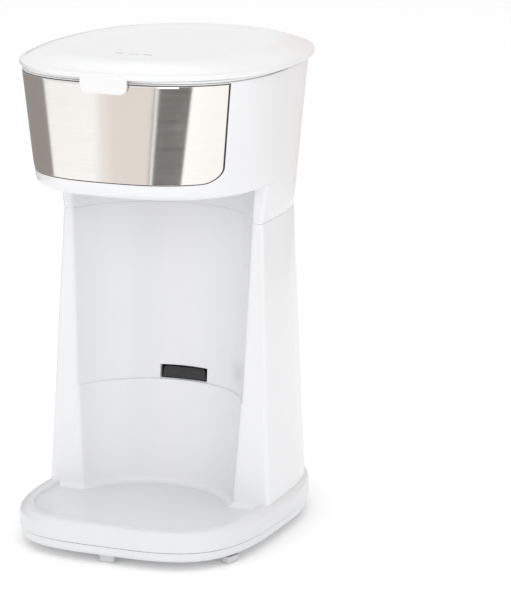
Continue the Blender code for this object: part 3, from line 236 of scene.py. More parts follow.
@dataclass(frozen=True)
class Alcove:
    """A column section: an outline with a flat front that a round bay is cut into.

    The corner is the radius of the outer front edges and the lip that of the bay's edges.
    """

    half_width: float
    front: float
    back: float
    taper: float
    bay_radius: float
    bay_back: float
    corner: float = 0.0024
    lip: float = 0.0022

    def inset(self, pull: float) -> Alcove:
        """The section's outside moved inwards, the bay kept."""
        return Alcove(self.half_width - pull, self.front, self.back - pull, self.taper,
                      self.bay_radius, self.bay_back, self.corner, self.lip)

    def hollow(self, wall: float) -> Alcove:
        """The space inside a wall of that thickness."""
        return Alcove(self.half_width - wall, self.front + wall, self.back - wall, self.taper,
                      self.bay_radius + wall, self.bay_back + wall, 0.0012, 0.0003)

    def flared(self, pull: float) -> Alcove:
        """The bay and the front face moved into the open by pull."""
        return Alcove(self.half_width, self.front - pull, self.back, self.taper,
                      self.bay_radius - pull, self.bay_back - pull, self.corner, self.lip)

    def halves(self) -> tuple[np.ndarray, np.ndarray]:
        """The section in two runs.

        The outer run goes from the right front corner round the back to the left one.  The
        inner run goes from there along the left arm, round its rounded lip, round the bay and
        back along the right arm.  The lip is a circle that touches the front line and the bay
        circle from outside.

        Returns:
            The outer run and the inner run.
        """
        turn = np.linspace(0.0, math.pi, 1201)
        c, s = np.cos(turn), np.sin(turn)
        rear = np.stack([self.half_width * signed_power(c, 0.8), self.back * signed_power(s, 0.8)], -1)
        side_y = np.linspace(self.front + self.corner, 0.0, 40)[:-1]
        side = np.stack([np.full_like(side_y, self.half_width), side_y], -1)
        outer = np.vstack([side, rear, (side * [-1.0, 1.0])[::-1]])
        outer[:, 0] *= 1.0 + self.taper * outer[:, 1] / TAPER_REACH

        edge = outer[0, 0]
        turn = np.linspace(0.0, -math.pi / 2, 16)
        corner = np.stack([edge - self.corner + self.corner * np.cos(turn),
                           self.front + self.corner + self.corner * np.sin(turn)], -1)
        centre_y = self.bay_back - self.bay_radius
        rise = self.front + self.lip - centre_y
        lip_x = math.sqrt((self.bay_radius + self.lip) ** 2 - rise ** 2)
        toward = math.atan2(-rise, -lip_x)
        turn = np.linspace(-math.pi / 2, toward, 20)
        lip = np.stack([lip_x + self.lip * np.cos(turn),
                        self.front + self.lip + self.lip * np.sin(turn)], -1)
        start = math.atan2(rise, lip_x)
        turn = np.linspace(start, math.pi / 2, 400)[1:]
        bay = np.stack([self.bay_radius * np.cos(turn), centre_y + self.bay_radius * np.sin(turn)], -1)
        right = np.vstack([corner, lip, bay])
        inner = np.vstack([right * [-1.0, 1.0], right[::-1][1:]])
        return outer, inner

    def ring(self, z: float) -> np.ndarray:
        """Closed ring at a level, with fixed numbers of points on the outer and the inner run."""
        return joined(*self.halves(), z, z)


def joined(outer: np.ndarray, inner: np.ndarray, z_outer: float, z_inner: float) -> np.ndarray:
    """One closed ring from an outer and an inner run.

    Args:
        outer: plan points from right to left round the back.
        inner: plan points from left to right round the front.
        z_outer: level of the outer run.
        z_inner: level of the inner run.

    Returns:
        The ring, anticlockwise from above.
    """
    a = at_level(resample(outer, OUTER_POINTS), z_outer)
    b = at_level(resample(inner, INNER_POINTS + 2)[1:-1], z_inner)
    return np.vstack([a, b])


# ---- meshes -----------------------------------------------------------------------------------
def grid_piece(name: str, rows: list[np.ndarray], loop: bool = False, caps: bool = True,
               angle: float = SMOOTH_ANGLE) -> bpy.types.Object:
    """A surface through closed rings.

    Args:
        name: the piece's name.
        rows: rings of equal length; a cap is a fan from each end ring's middle.
        loop: whether the last ring joins the first, as in a hollow shell.
        caps: whether the two ends are closed.
        angle: edges sharper than this many degrees stay sharp.

    Returns:
        The linked object, at the origin.
    """
    grid = np.asarray(rows, float)
    levels, count = grid.shape[:2]
    verts = grid.reshape(-1, 3)
    low = np.arange(levels if loop else levels - 1)[:, None]
    high = (low + 1) % levels
    col = np.arange(count)[None, :]
    nxt = (col + 1) % count
    faces = np.stack([low * count + col, low * count + nxt, high * count + nxt,
                      high * count + col], -1).reshape(-1, 4).tolist()
    if caps and not loop:
        verts = np.vstack([verts, grid[0].mean(0), grid[-1].mean(0)])
        ring, step = np.arange(count), (np.arange(count) + 1) % count
        foot, top = levels * count, (levels - 1) * count
        faces += np.stack([step, ring, np.full(count, foot)], -1).tolist()
        faces += np.stack([top + ring, top + step, np.full(count, foot + 1)], -1).tolist()
    mesh = bpy.data.meshes.new(name)
    mesh.from_pydata(verts.tolist(), [], faces)
    return settle(new_object(name, mesh), angle)


def new_object(name: str, mesh: bpy.types.Mesh) -> bpy.types.Object:
    """Link a mesh as an object at the origin."""
    obj = bpy.data.objects.new(name, mesh)
    bpy.context.scene.collection.objects.link(obj)
    return obj


def settle(obj: bpy.types.Object, angle: float = SMOOTH_ANGLE) -> bpy.types.Object:
    """Merge doubles, turn faces outwards and shade smooth.

    Args:
        obj: the piece to finish.
        angle: edges sharper than this many degrees stay sharp.

    Returns:
        The same piece.
    """
    bm = bmesh.new()
    bm.from_mesh(obj.data)
    bmesh.ops.remove_doubles(bm, verts=bm.verts, dist=1e-7)
    bmesh.ops.recalc_face_normals(bm, faces=bm.faces)
    bm.to_mesh(obj.data)
    bm.free()
    obj.data.shade_smooth()
    obj.data.set_sharp_from_angle(angle=math.radians(angle))
    return obj


def extruded(name: str, outline: np.ndarray, start: float, stop: float, axis: int,
             edge: float = 0.0004) -> bpy.types.Object:
    """A plate: an outline carried along one axis, with rounded edges at both ends.

    Args:
        name: the piece's name.
        outline: points in the plane of the other two axes.
        start: first level along the axis.
        stop: last level along the axis.
        axis: 0, 1 or 2 for X, Y or Z.
        edge: radius of the rounded edges, made by shrinking the outline about its middle.

    Returns:
        The linked object.
    """
    outline = resample(outline, 160, True)
    middle = (outline.max(0) + outline.min(0)) / 2
    half = (outline.max(0) - outline.min(0)) / 2
    rows = []
    turn = np.linspace(0.0, math.pi / 2, 5)
    places = [(start + edge * (1 - math.cos(a)), edge * (1 - math.sin(a))) for a in turn]
    places += [(stop - edge * (1 - math.cos(a)), edge * (1 - math.sin(a))) for a in turn[::-1]]
    for level, pull in places:
        flat = middle + (outline - middle) * (1.0 - pull / half)
        rows.append(np.insert(flat, axis, level, axis=1))
    return grid_piece(name, rows)


def rounded_quad(corners: list[tuple[float, float]], radii: list[float]) -> np.ndarray:
    """Outline of a four-sided plate with arcs at its corners.

    Each arc is a quadratic curve that starts and ends one radius from the corner.

    Args:
        corners: the four corners in order round the plate.
        radii: the size of the arc at each corner.

    Returns:
        The closed outline, without a repeated end point.
    """
    t = np.linspace(0.0, 1.0, 12)[:, None]
    pts = [np.asarray(c, float) for c in corners]
    out = []
    for k, (corner, radius) in enumerate(zip(pts, radii)):
        before, after = pts[k - 1] - corner, pts[(k + 1) % len(pts)] - corner
        a = corner + before / np.linalg.norm(before) * radius
        b = corner + after / np.linalg.norm(after) * radius
        out.append((1 - t) ** 2 * a + 2 * t * (1 - t) * corner + t ** 2 * b)
    return np.vstack(out)


def apply_boolean(target: bpy.types.Object, tool: bpy.types.Object, operation: str,
                  angle: float = SMOOTH_ANGLE) -> None:
    """Join or cut one piece with another and drop the tool.

    Args:
        target: the piece that is changed.
        tool: the piece that joins or cuts it, and is removed.
        operation: UNION or DIFFERENCE.
        angle: edges sharper than this many degrees stay sharp.
    """
    modifier = target.modifiers.new(operation, "BOOLEAN")
    modifier.solver = "EXACT"
    modifier.operation = operation
    modifier.object = tool
    graph = bpy.context.evaluated_depsgraph_get()
    mesh = bpy.data.meshes.new_from_object(target.evaluated_get(graph))
    target.modifiers.clear()
    target.data = mesh
    bpy.data.objects.remove(tool)
    mesh.shade_smooth()
    mesh.set_sharp_from_angle(angle=math.radians(angle))


def block(name: str, low: tuple[float, float, float], high: tuple[float, float, float],
          edge: float = 0.0002) -> bpy.types.Object:
    """A rounded block between two corners."""
    outline = rounded_quad([(low[0], low[1]), (high[0], low[1]), (high[0], high[1]),
                            (low[0], high[1])], [max(edge, 1e-4)] * 4)
    return extruded(name, outline, low[2], high[2], 2, edge)


# ---- shared shader groups ---------------------------------------------------------------------
@dataclass
class NodeKit:
    """Short calls for building one node tree."""

    tree: bpy.types.NodeTree

    def add(self, kind: str, **values: object) -> bpy.types.Node:
        """A node with its properties set."""
        node = self.tree.nodes.new(kind)
        for key, value in values.items():
            setattr(node, key, value)
        return node

    def link(self, source: bpy.types.NodeSocket, target: bpy.types.NodeSocket) -> None:
        """Join two sockets."""
        self.tree.links.new(source, target)

    def math(self, operation: str, a: object, b: object, clamp: bool = False) -> bpy.types.NodeSocket:
        """A Math node fed by sockets or numbers.

        Args:
            operation: the node's operation.
            a: first socket or number.
            b: second socket or number.
            clamp: whether the result is held between 0 and 1.

        Returns:
            The node's output.
        """
        node = self.add("ShaderNodeMath", operation=operation, use_clamp=clamp)
        for socket, value in zip(node.inputs, (a, b)):
            if isinstance(value, (int, float)):
                socket.default_value = value
            else:
                self.link(value, socket)
        return node.outputs[0]

    def noise(self, vector: bpy.types.NodeSocket, scale: object, detail: float = 3.0,
              roughness: float = 0.55) -> bpy.types.NodeSocket:
        """Fractal noise of a vector.

        Args:
            vector: where the noise is read.
            scale: its scale, a socket or a number.
            detail: number of octaves.
            roughness: share of each octave in the next.

        Returns:
            The noise, between 0 and 1.
        """
        node = self.add("ShaderNodeTexNoise")
        node.inputs["Detail"].default_value = detail
        node.inputs["Roughness"].default_value = roughness
        self.link(vector, node.inputs["Vector"])
        if isinstance(scale, (int, float)):
            node.inputs["Scale"].default_value = scale
        else:
            self.link(scale, node.inputs["Scale"])
        return node.outputs["Fac"]

    def mix(self, factor: object, a: object, b: object) -> bpy.types.NodeSocket:
        """A colour mix fed by sockets or colours.

        Args:
            factor: share of b.
            a: first socket or colour.
            b: second socket or colour.

        Returns:
            The mixed colour.
        """
        node = self.add("ShaderNodeMix", data_type="RGBA")
        for socket, value in ((node.inputs[0], factor), (node.inputs[6], a), (node.inputs[7], b)):
            if isinstance(value, bpy.types.NodeSocket):
                self.link(value, socket)
            else:
                socket.default_value = value
        return node.outputs[2]

    def stretched(self, vector: bpy.types.NodeSocket, scale: tuple[float, float, float]
                  ) -> bpy.types.NodeSocket:
        """A vector scaled along each axis."""
        node = self.add("ShaderNodeMapping")
        node.inputs["Scale"].default_value = scale
        self.link(vector, node.inputs["Vector"])
        return node.outputs[0]


def new_group(name: str, inputs: dict[str, tuple[str, object]], outputs: dict[str, str]
              ) -> tuple[bpy.types.NodeTree, NodeKit, bpy.types.Node, bpy.types.Node]:
    """An empty shader group with named sockets.

    Args:
        name: the group's name.
        inputs: socket type and first value by label.
        outputs: socket type by label.

    Returns:
        The group, its node kit, its input node and its output node.
    """
    tree = bpy.data.node_groups.new(name, "ShaderNodeTree")
    for label, (kind, value) in inputs.items():
        socket = tree.interface.new_socket(label, in_out="INPUT", socket_type=kind)
        if value is not None:
            socket.default_value = value
    for label, kind in outputs.items():
        tree.interface.new_socket(label, in_out="OUTPUT", socket_type=kind)
    kit = NodeKit(tree)
    return tree, kit, kit.add("NodeGroupInput"), kit.add("NodeGroupOutput")


class SurfaceGroups:
    """The shader groups that the finishes share, each built once."""

    def __init__(self) -> None:
        """Build every group."""
        self.moulding = self.build_moulding()
        self.brushing = self.build_brushing()
        self.handling = self.build_handling()

    @staticmethod
    def build_moulding() -> bpy.types.NodeTree:
        """Moulded-plastic skin: slow colour drift, flow marks, fine texture and uneven gloss.

        The height is a fine noise plus a long-wave ripple; the colour drifts between two tones.

        Returns:
            The group, with a colour, a roughness and a height.
        """
        tree, kit, given, result = new_group(
            "moulded_skin",
            {"Tone A": ("NodeSocketColor", (0.8, 0.8, 0.8, 1)),
             "Tone B": ("NodeSocketColor", (0.75, 0.75, 0.76, 1)),
             "Grain Scale": ("NodeSocketFloat", 900.0),
             "Ripple": ("NodeSocketFloat", 0.3),
             "Roughness": ("NodeSocketFloat", 0.25),
             "Roughness Spread": ("NodeSocketFloat", 0.08)},
            {"Color": "NodeSocketColor", "Roughness": "NodeSocketFloat", "Height": "NodeSocketFloat"})
        place = kit.add("ShaderNodeTexCoord").outputs["Object"]
        drift = kit.noise(place, 14.0, 2.0)
        grain = kit.noise(place, given.outputs["Grain Scale"], 3.0, 0.6)
        ripple = kit.noise(kit.stretched(place, (1.0, 1.0, 0.35)), 26.0, 1.0)
        smudge = kit.noise(place, 60.0, 4.0, 0.6)
        kit.link(kit.mix(drift, given.outputs["Tone A"], given.outputs["Tone B"]), result.inputs[0])
        wander = kit.math("MULTIPLY", kit.math("SUBTRACT", smudge, 0.5),
                          given.outputs["Roughness Spread"])
        kit.link(kit.math("ADD", given.outputs["Roughness"], wander, True), result.inputs[1])
        kit.link(kit.math("ADD", kit.math("MULTIPLY", ripple, given.outputs["Ripple"]), grain),
                 result.inputs[2])
        return tree

    @staticmethod
    def build_brushing() -> bpy.types.NodeTree:
        """Brushed metal: long scratches along X with a spread of length and depth.

        Two noises stretched along X are added, one fine and one coarse; the sum drives the
        colour, the roughness and the height.

        Returns:
            The group, with a colour, a roughness and a height.
        """
        tree, kit, given, result = new_group(
            "brushed_lines",
            {"Tone A": ("NodeSocketColor", (0.6, 0.6, 0.6, 1)),
             "Tone B": ("NodeSocketColor", (0.4, 0.4, 0.4, 1)),
             "Roughness": ("NodeSocketFloat", 0.25),
             "Roughness Spread": ("NodeSocketFloat", 0.15)},
            {"Color": "NodeSocketColor", "Roughness": "NodeSocketFloat", "Height": "NodeSocketFloat"})
        place = kit.add("ShaderNodeTexCoord").outputs["Object"]
        fine = kit.noise(kit.stretched(place, (38.0, 38.0, 5200.0)), 1.0, 3.0, 0.6)
        coarse = kit.noise(kit.stretched(place, (12.0, 12.0, 1500.0)), 1.0, 2.0, 0.6)
        lines = kit.math("ADD", kit.math("MULTIPLY", fine, 0.65), kit.math("MULTIPLY", coarse, 0.35))
        kit.link(kit.mix(lines, given.outputs["Tone A"], given.outputs["Tone B"]), result.inputs[0])
        wander = kit.math("MULTIPLY", kit.math("SUBTRACT", lines, 0.5),
                          given.outputs["Roughness Spread"])
        kit.link(kit.math("ADD", given.outputs["Roughness"], wander, True), result.inputs[1])
        kit.link(lines, result.inputs[2])
        return tree

    @staticmethod
    def build_handling() -> bpy.types.NodeTree:
        """Traces of use: soft finger smears and a few fine dust specks.

        Returns:
            The group, with one mask that is added to the roughness.
        """
        tree, kit, given, result = new_group(
            "handling_marks",
            {"Smear": ("NodeSocketFloat", 0.5), "Dust": ("NodeSocketFloat", 0.3)},
            {"Mask": "NodeSocketFloat"})
        place = kit.add("ShaderNodeTexCoord").outputs["Object"]
        smear = kit.math("SUBTRACT", kit.noise(place, 38.0, 5.0, 0.62), 0.52, True)
        specks = kit.math("SUBTRACT", kit.noise(place, 2600.0, 1.0), 0.74, True)
        both = kit.math("ADD", kit.math("MULTIPLY", smear, given.outputs["Smear"]),
                        kit.math("MULTIPLY", specks, given.outputs["Dust"]), True)
        kit.link(both, result.inputs[0])
        return tree


# ---- finishes -----------------------------------------------------------------------------------
Colour = tuple[float, float, float, float]


@dataclass(frozen=True)
class Finish:
    """One material: its two tones, gloss and skin, and which shared groups it uses."""

    name: str
    tone_a: Colour
    tone_b: Colour
    roughness: float
    spread: float = 0.08
    metallic: float = 0.0
    brushed: bool = False
    grain: float = 900.0
    ripple: float = 0.3
    bump: float = 0.02
    bump_distance: float = 0.0002
    smear: float = 0.25
    dust: float = 0.2
    coat: float = 0.0
    anisotropic: float = 0.0

    def build(self, groups: SurfaceGroups) -> bpy.types.Material:
        """Make the material from the shared groups.

        Args:
            groups: the groups that the finishes share.

        Returns:
            The new material.
        """
        material = bpy.data.materials.new(self.name)
        material.use_nodes = True
        kit = NodeKit(material.node_tree)
        shader = material.node_tree.nodes["Principled BSDF"]
        skin = kit.add("ShaderNodeGroup",
                       node_tree=groups.brushing if self.brushed else groups.moulding)
        skin.inputs["Tone A"].default_value = self.tone_a
        skin.inputs["Tone B"].default_value = self.tone_b
        skin.inputs["Roughness"].default_value = self.roughness
        skin.inputs["Roughness Spread"].default_value = self.spread
        if not self.brushed:
            skin.inputs["Grain Scale"].default_value = self.grain
            skin.inputs["Ripple"].default_value = self.ripple
        marks = kit.add("ShaderNodeGroup", node_tree=groups.handling)
        marks.inputs["Smear"].default_value = self.smear
        marks.inputs["Dust"].default_value = self.dust
        kit.link(skin.outputs["Color"], shader.inputs["Base Color"])
        kit.link(kit.math("ADD", skin.outputs["Roughness"], marks.outputs["Mask"], True),
                 shader.inputs["Roughness"])
        bump = kit.add("ShaderNodeBump")
        bump.inputs["Strength"].default_value = self.bump
        bump.inputs["Distance"].default_value = self.bump_distance
        kit.link(skin.outputs["Height"], bump.inputs["Height"])
        kit.link(bump.outputs[0], shader.inputs["Normal"])
        shader.inputs["Metallic"].default_value = self.metallic
        shader.inputs["Coat Weight"].default_value = self.coat
        shader.inputs["Coat Roughness"].default_value = 0.06
        shader.inputs["Anisotropic"].default_value = self.anisotropic
        shader.inputs["Anisotropic Rotation"].default_value = 0.25
        return material


WHITE_GLOSS = Finish("white_gloss_plastic", (0.80, 0.80, 0.81, 1), (0.77, 0.775, 0.79, 1), 0.26,
                     spread=0.05, bump=0.03, coat=0.2, ripple=0.5, smear=0.015, dust=0.02)
WHITE_LID = Finish("white_lid_plastic", (0.82, 0.82, 0.825, 1), (0.79, 0.79, 0.80, 1), 0.24,
                   spread=0.05, bump=0.03, coat=0.25, ripple=0.5, smear=0.015, dust=0.02)
WHITE_SATIN = Finish("white_satin_plastic", (0.74, 0.745, 0.76, 1), (0.70, 0.71, 0.73, 1), 0.42,
                     bump=0.12, grain=1400.0)
# The same white plastic as the column and the head, given a darker tone for the base and the bottom
# cover: painted shade, because these low parts take less light.
WHITE_BASE_PAINTED_SHADE = Finish("white_plastic_painted_shade", (0.73, 0.733, 0.745, 1), (0.70, 0.705, 0.72, 1), 0.26,
                    spread=0.05, bump=0.03, coat=0.2, ripple=0.5, smear=0.015, dust=0.02)
BRUSHED_STEEL = Finish("brushed_steel", (0.93, 0.905, 0.88, 1), (0.80, 0.77, 0.735, 1), 0.17,
                       spread=0.20, metallic=1.0, brushed=True, bump=0.18, bump_distance=0.00005,
                       smear=0.15, dust=0.05, anisotropic=0.85)
# Near-black finish for the sheet round the panel: painted shadow in the slit between the panel and the
# head.
PAINTED_GAP_SHADOW = Finish("panel_gap_shadow", (0.012, 0.012, 0.013, 1), (0.02, 0.02, 0.021, 1), 0.7)
BLACK_PLASTIC = Finish("black_plastic", (0.012, 0.012, 0.013, 1), (0.022, 0.022, 0.024, 1), 0.36,
                       bump=0.2, grain=1800.0)
WHITE_FOOT = Finish("foot_rubber", (0.60, 0.60, 0.61, 1), (0.54, 0.54, 0.55, 1), 0.55, bump=0.2,
                    grain=2200.0)
RUBBER = Finish("grey_rubber", (0.42, 0.42, 0.44, 1), (0.36, 0.36, 0.38, 1), 0.62, bump=0.2,
                grain=2200.0)
CLEAR_GREY = Finish("tank_plastic", (0.70, 0.71, 0.72, 1), (0.65, 0.66, 0.68, 1), 0.30, bump=0.1)
STEEL_WIRE = Finish("steel_wire", (0.62, 0.62, 0.63, 1), (0.5, 0.5, 0.52, 1), 0.28, metallic=1.0,
                    bump=0.1, dust=0.1)
GOLD_MESH = Finish("filter_mesh", (0.80, 0.66, 0.38, 1), (0.62, 0.50, 0.28, 1), 0.38, metallic=1.0,
                   bump=0.6, grain=1500.0)
CAST_ALLOY = Finish("cast_alloy", (0.62, 0.62, 0.62, 1), (0.5, 0.5, 0.5, 1), 0.5, metallic=1.0,
                    bump=0.4, grain=1100.0)
BRASS = Finish("brass", (0.78, 0.62, 0.33, 1), (0.66, 0.5, 0.25, 1), 0.35, metallic=1.0, bump=0.1)
BLACK_WIRE = Finish("black_wire", (0.015, 0.015, 0.016, 1), (0.03, 0.03, 0.03, 1), 0.5, bump=0.1)
RED_WIRE = Finish("red_wire", (0.45, 0.03, 0.02, 1), (0.36, 0.02, 0.02, 1), 0.5, bump=0.1)


class Workshop:
    """Keeps the finishes and reports each piece."""

    def __init__(self) -> None:
        """Build the shared groups."""
        self.groups = SurfaceGroups()
        self.made: dict[str, bpy.types.Material] = {}

    def material(self, finish: Finish) -> bpy.types.Material:
        """The finish's material, built at its first use."""
        if finish.name not in self.made:
            self.made[finish.name] = finish.build(self.groups)
        return self.made[finish.name]

    def dress(self, obj: bpy.types.Object, finish: Finish, body: Body, slot: str,
              *nodes: str) -> bpy.types.Object:
        """Give a new piece its finish, hang it on its body and hide the CAD nodes that it stands for.

        Args:
            obj: the piece.
            finish: its material.
            body: the body that carries it.
            slot: not used.
            nodes: the CAD nodes that it stands for.

        Returns:
            The same piece.
        """
        obj.data.materials.clear()
        obj.data.materials.append(self.material(finish))
        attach(obj, body.value)
        if nodes:
            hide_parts(*nodes)
        LOG.info("piece %s on %s, %d faces", obj.name, body.value, len(obj.data.polygons))
        return obj

    def redress(self, node: bpy.types.Object, finish: Finish) -> None:
        """Give a carried-over node a finish of its own."""
        node.data.materials.clear()
        node.data.materials.append(self.material(finish))


# ---- the plan of the casing -----------------------------------------------------------------------
Span = tuple[float, float]


@dataclass(frozen=True)
class CasingPlan:
    """Sizes of the casing outlines, the same as in the CAD.

    The column's spans run from the seam down to the tray, the head's from the seam up to the
    rim, and the bay's from the ledge up to the seam.
    """

    seam: float = 0.185
    tray_floor: float = 0.0198
    tray_rim: float = 0.0225
    cover_floor: float = 0.0047
    cover_seam: float = 0.0104
    head_bottom: float = 0.2075
    head_top: float = 0.2732
    deck_level: float = 0.2620
    ledge: float = 0.0806
    ledge_depth: float = 0.0017
    column_half: Span = (0.0622, 0.0694)
    column_front: Span = (-0.0180, -0.0261)
    column_back: Span = (0.0870, 0.0916)
    column_taper: Span = (-0.042, -0.035)
    head_half: Span = (0.0622, 0.0732)
    head_back: Span = (0.0870, 0.0885)
    head_taper: Span = (-0.042, -0.074)
    head_front: float = -0.0900
    bay_radius: Span = (0.0556, 0.0594)
    bay_back: Span = (0.0136, 0.0229)
    bay_foot_radius: float = 0.0533
    bay_foot_back: float = 0.0034
    base: Oval = Oval(0.0728, -0.0990, 0.0922, -0.0022, 3.6, 2.35, -0.008)
    tray: Oval = Oval(0.0630, -0.0892, 0.0100, -0.040, 2.8, 24.0, -0.008)
    lid: Oval = Oval(0.0775, -0.0933, 0.0930, 0.0, 2.34, 2.4, -0.080)
    dish: Oval = Oval(0.0520, -0.0785, 0.0560, -0.012, 2.6, 2.1)

    def column(self, z: float, below: bool = False) -> Alcove:
        """Section of the column at a level.

        Args:
            z: the level.
            below: whether the bay is the wider one below the ledge.

        Returns:
            The section.
        """
        t = (self.seam - z) / (self.seam - self.tray_floor)
        radius, back = self.bay(z)
        if below:
            b = (z - self.tray_floor) / (self.ledge - self.tray_floor)
            radius = lerp(self.bay_foot_radius, self.bay_radius[0], b)
            back = lerp(self.bay_foot_back, self.bay_back[0] - self.ledge_depth, b)
        return Alcove(lerp(*self.column_half, t), lerp(*self.column_front, t),
                      lerp(*self.column_back, t), lerp(*self.column_taper, t), radius, back)

    def bay(self, z: float) -> tuple[float, float]:
        """Radius and rearmost y of the bay at a level above its ledge."""
        b = (z - self.ledge) / (self.seam - self.ledge)
        return lerp(*self.bay_radius, b), lerp(*self.bay_back, b)

    def neck(self, z: float) -> Alcove:
        """Section of the neck above the seam."""
        t = self.head_share(z)
        return Alcove(lerp(*self.head_half, t), self.column_front[0], lerp(*self.head_back, t),
                      lerp(*self.head_taper, t), *self.bay(z))

    def head(self, z: float) -> Oval:
        """Outline of the head."""
        t = self.head_share(z)
        return Oval(lerp(*self.head_half, t), self.head_front, lerp(*self.head_back, t), 0.0, 2.72,
                    2.5, lerp(*self.head_taper, t))

    def head_share(self, z: float) -> float:
        """How far up the head a level is, from the seam to the rim."""
        return (z - self.seam) / (self.head_top - self.seam)


# ---- sub-assemblies ---------------------------------------------------------------------------------
@dataclass
class LowerCasing:
    """Column with the mug bay, base with the tray, and bottom cover."""

    plan: CasingPlan
    bay_fillet: float = 0.0034
    rim_radius: float = 0.0042
    base_points: int = 420
    window_half_width: float = 0.0151
    window_height: float = 0.0084
    foot_level: float = 0.0140
    ledge_edge: float = 0.0006
    tray_edge: float = 0.0012
    vents: int = 5
    vent_pitch: float = 0.012
    vent_half_width: float = 0.0016

    def column(self) -> bpy.types.Object:
        """Hollow column: outer rings up, inner rings down, closed at the rim and the foot.

        Returns:
            The column with the paddle's window cut out.
        """
        plan, edge = self.plan, self.ledge_edge
        floor, top = plan.tray_floor, plan.seam - SEAM_SLIT
        rows = [plan.column(floor, True).flared(self.bay_fillet).inset(0.0008).ring(self.foot_level)]
        for a in np.linspace(0.0, math.pi / 2, 9):
            z = floor + self.bay_fillet * (1 - math.cos(a))
            pull = self.bay_fillet * (1 - math.sin(a))
            rows.append(plan.column(z, True).flared(pull).ring(z))
        low = floor + self.bay_fillet
        rows += [plan.column(z, True).ring(z) for z in np.linspace(low, plan.ledge - 0.0010, 16)[1:]]
        for a in np.linspace(0.0, math.pi / 2, 5):
            z, pull = plan.ledge - edge * (1 - math.sin(a)), edge * (1 - math.cos(a))
            below = plan.column(z, True)
            section = Alcove(below.half_width, below.front, below.back, below.taper,
                             below.bay_radius + pull, below.bay_back + pull)
            rows.append(section.ring(z))
        rows += [plan.column(z).ring(z) for z in np.linspace(plan.ledge + 0.00005, top - 0.0008, 28)]
        rows += [plan.column(top).inset(pull).ring(top - drop)
                 for pull, drop in ((0.0, 0.0003), (0.00008, 0.0001), (0.00025, 0.0))]
        inner = [plan.column(z).hollow(WALL).ring(z) for z in (top, plan.ledge + 0.001)]
        inner += [plan.column(z, True).hollow(WALL).ring(z)
                  for z in (plan.ledge - 0.001, 0.030, self.foot_level)]
        piece = grid_piece("lower_casing_column", rows + inner, loop=True)
        window = block("window", (-self.window_half_width, 0.0, plan.ledge + 0.0003),
                       (self.window_half_width, 0.0225, plan.ledge + self.window_height), 0.0003)
        apply_boolean(piece, window, "DIFFERENCE")
        return piece

    def base(self) -> bpy.types.Object:
        """Base body: outer wall, rounded rim, tray wall with its fillet, and the tray floor.

        Returns:
            The base as one closed surface.
        """
        plan, count, radius, edge = self.plan, self.base_points, self.rim_radius, self.tray_edge
        low, rim = plan.cover_seam + GAP, plan.tray_rim
        rows = [plan.base.inset(pull).ring(low + up, count)
                for pull, up in ((0.0004, 0.0), (0.0001, 0.0002), (0.0, 0.0006))]
        for a in np.linspace(0.0, math.pi / 2, 10):
            rows.append(plan.base.inset(radius * (1 - math.cos(a))).ring(
                rim - radius + radius * math.sin(a), count))
        guide, centre = rows[-1], plan.tray.mid
        start = plan.tray.inset(-0.0014)
        for a in np.linspace(0.0, math.pi / 2, 6):
            rows.append(start.inset(edge * math.sin(a)).facing(
                guide, centre, rim - edge * (1 - math.cos(a))))
        for a in np.linspace(0.0, math.pi / 2, 7):
            rows.append(plan.tray.inset(0.0002 + 0.0022 * (1 - math.cos(a))).facing(
                guide, centre, plan.tray_floor + 0.0013 * (1 - math.sin(a))))
        last, middle = rows[-1], np.array([0.0, centre, plan.tray_floor])
        rows += [middle + (last - middle) * s for s in (0.85, 0.6, 0.35, 0.12)]
        return grid_piece("lower_casing_base", rows)

    def cover(self) -> bpy.types.Object:
        """Bottom cover with its vent slots.

        Returns:
            The cover as one closed surface.
        """
        base, floor, seam = self.plan.base, self.plan.cover_floor, self.plan.cover_seam
        section = ((0.0034, floor), (0.0022, floor + 0.0002), (0.0012, floor + 0.0009),
                   (0.0007, floor + 0.0020), (0.0006, floor + 0.0032), (0.0006, seam))
        piece = grid_piece("bottom_cover_shell",
                           [base.inset(pull).ring(z, self.base_points) for pull, z in section])
        half = self.vent_half_width
        for k in range(self.vents):
            x = self.vent_pitch * (k - (self.vents - 1) / 2)
            slot = block("slot", (x - half, 0.028, 0.002), (x + half, 0.052, 0.0080), 0.0006)
            apply_boolean(piece, slot, "DIFFERENCE")
        return piece

    def build(self, shop: Workshop) -> None:
        """Make and dress the pieces."""
        shop.dress(self.column(), WHITE_GLOSS, Body.MACHINE, "lower_housing", "lower_housing")
        # The base and the cover take the darker copy of the white: painted shade on the same plastic
        # as the column.
        shop.dress(self.base(), WHITE_BASE_PAINTED_SHADE, Body.MACHINE, "lower_housing")
        shop.dress(self.cover(), WHITE_BASE_PAINTED_SHADE, Body.MACHINE, "bottom_cover", "bottom_cover")


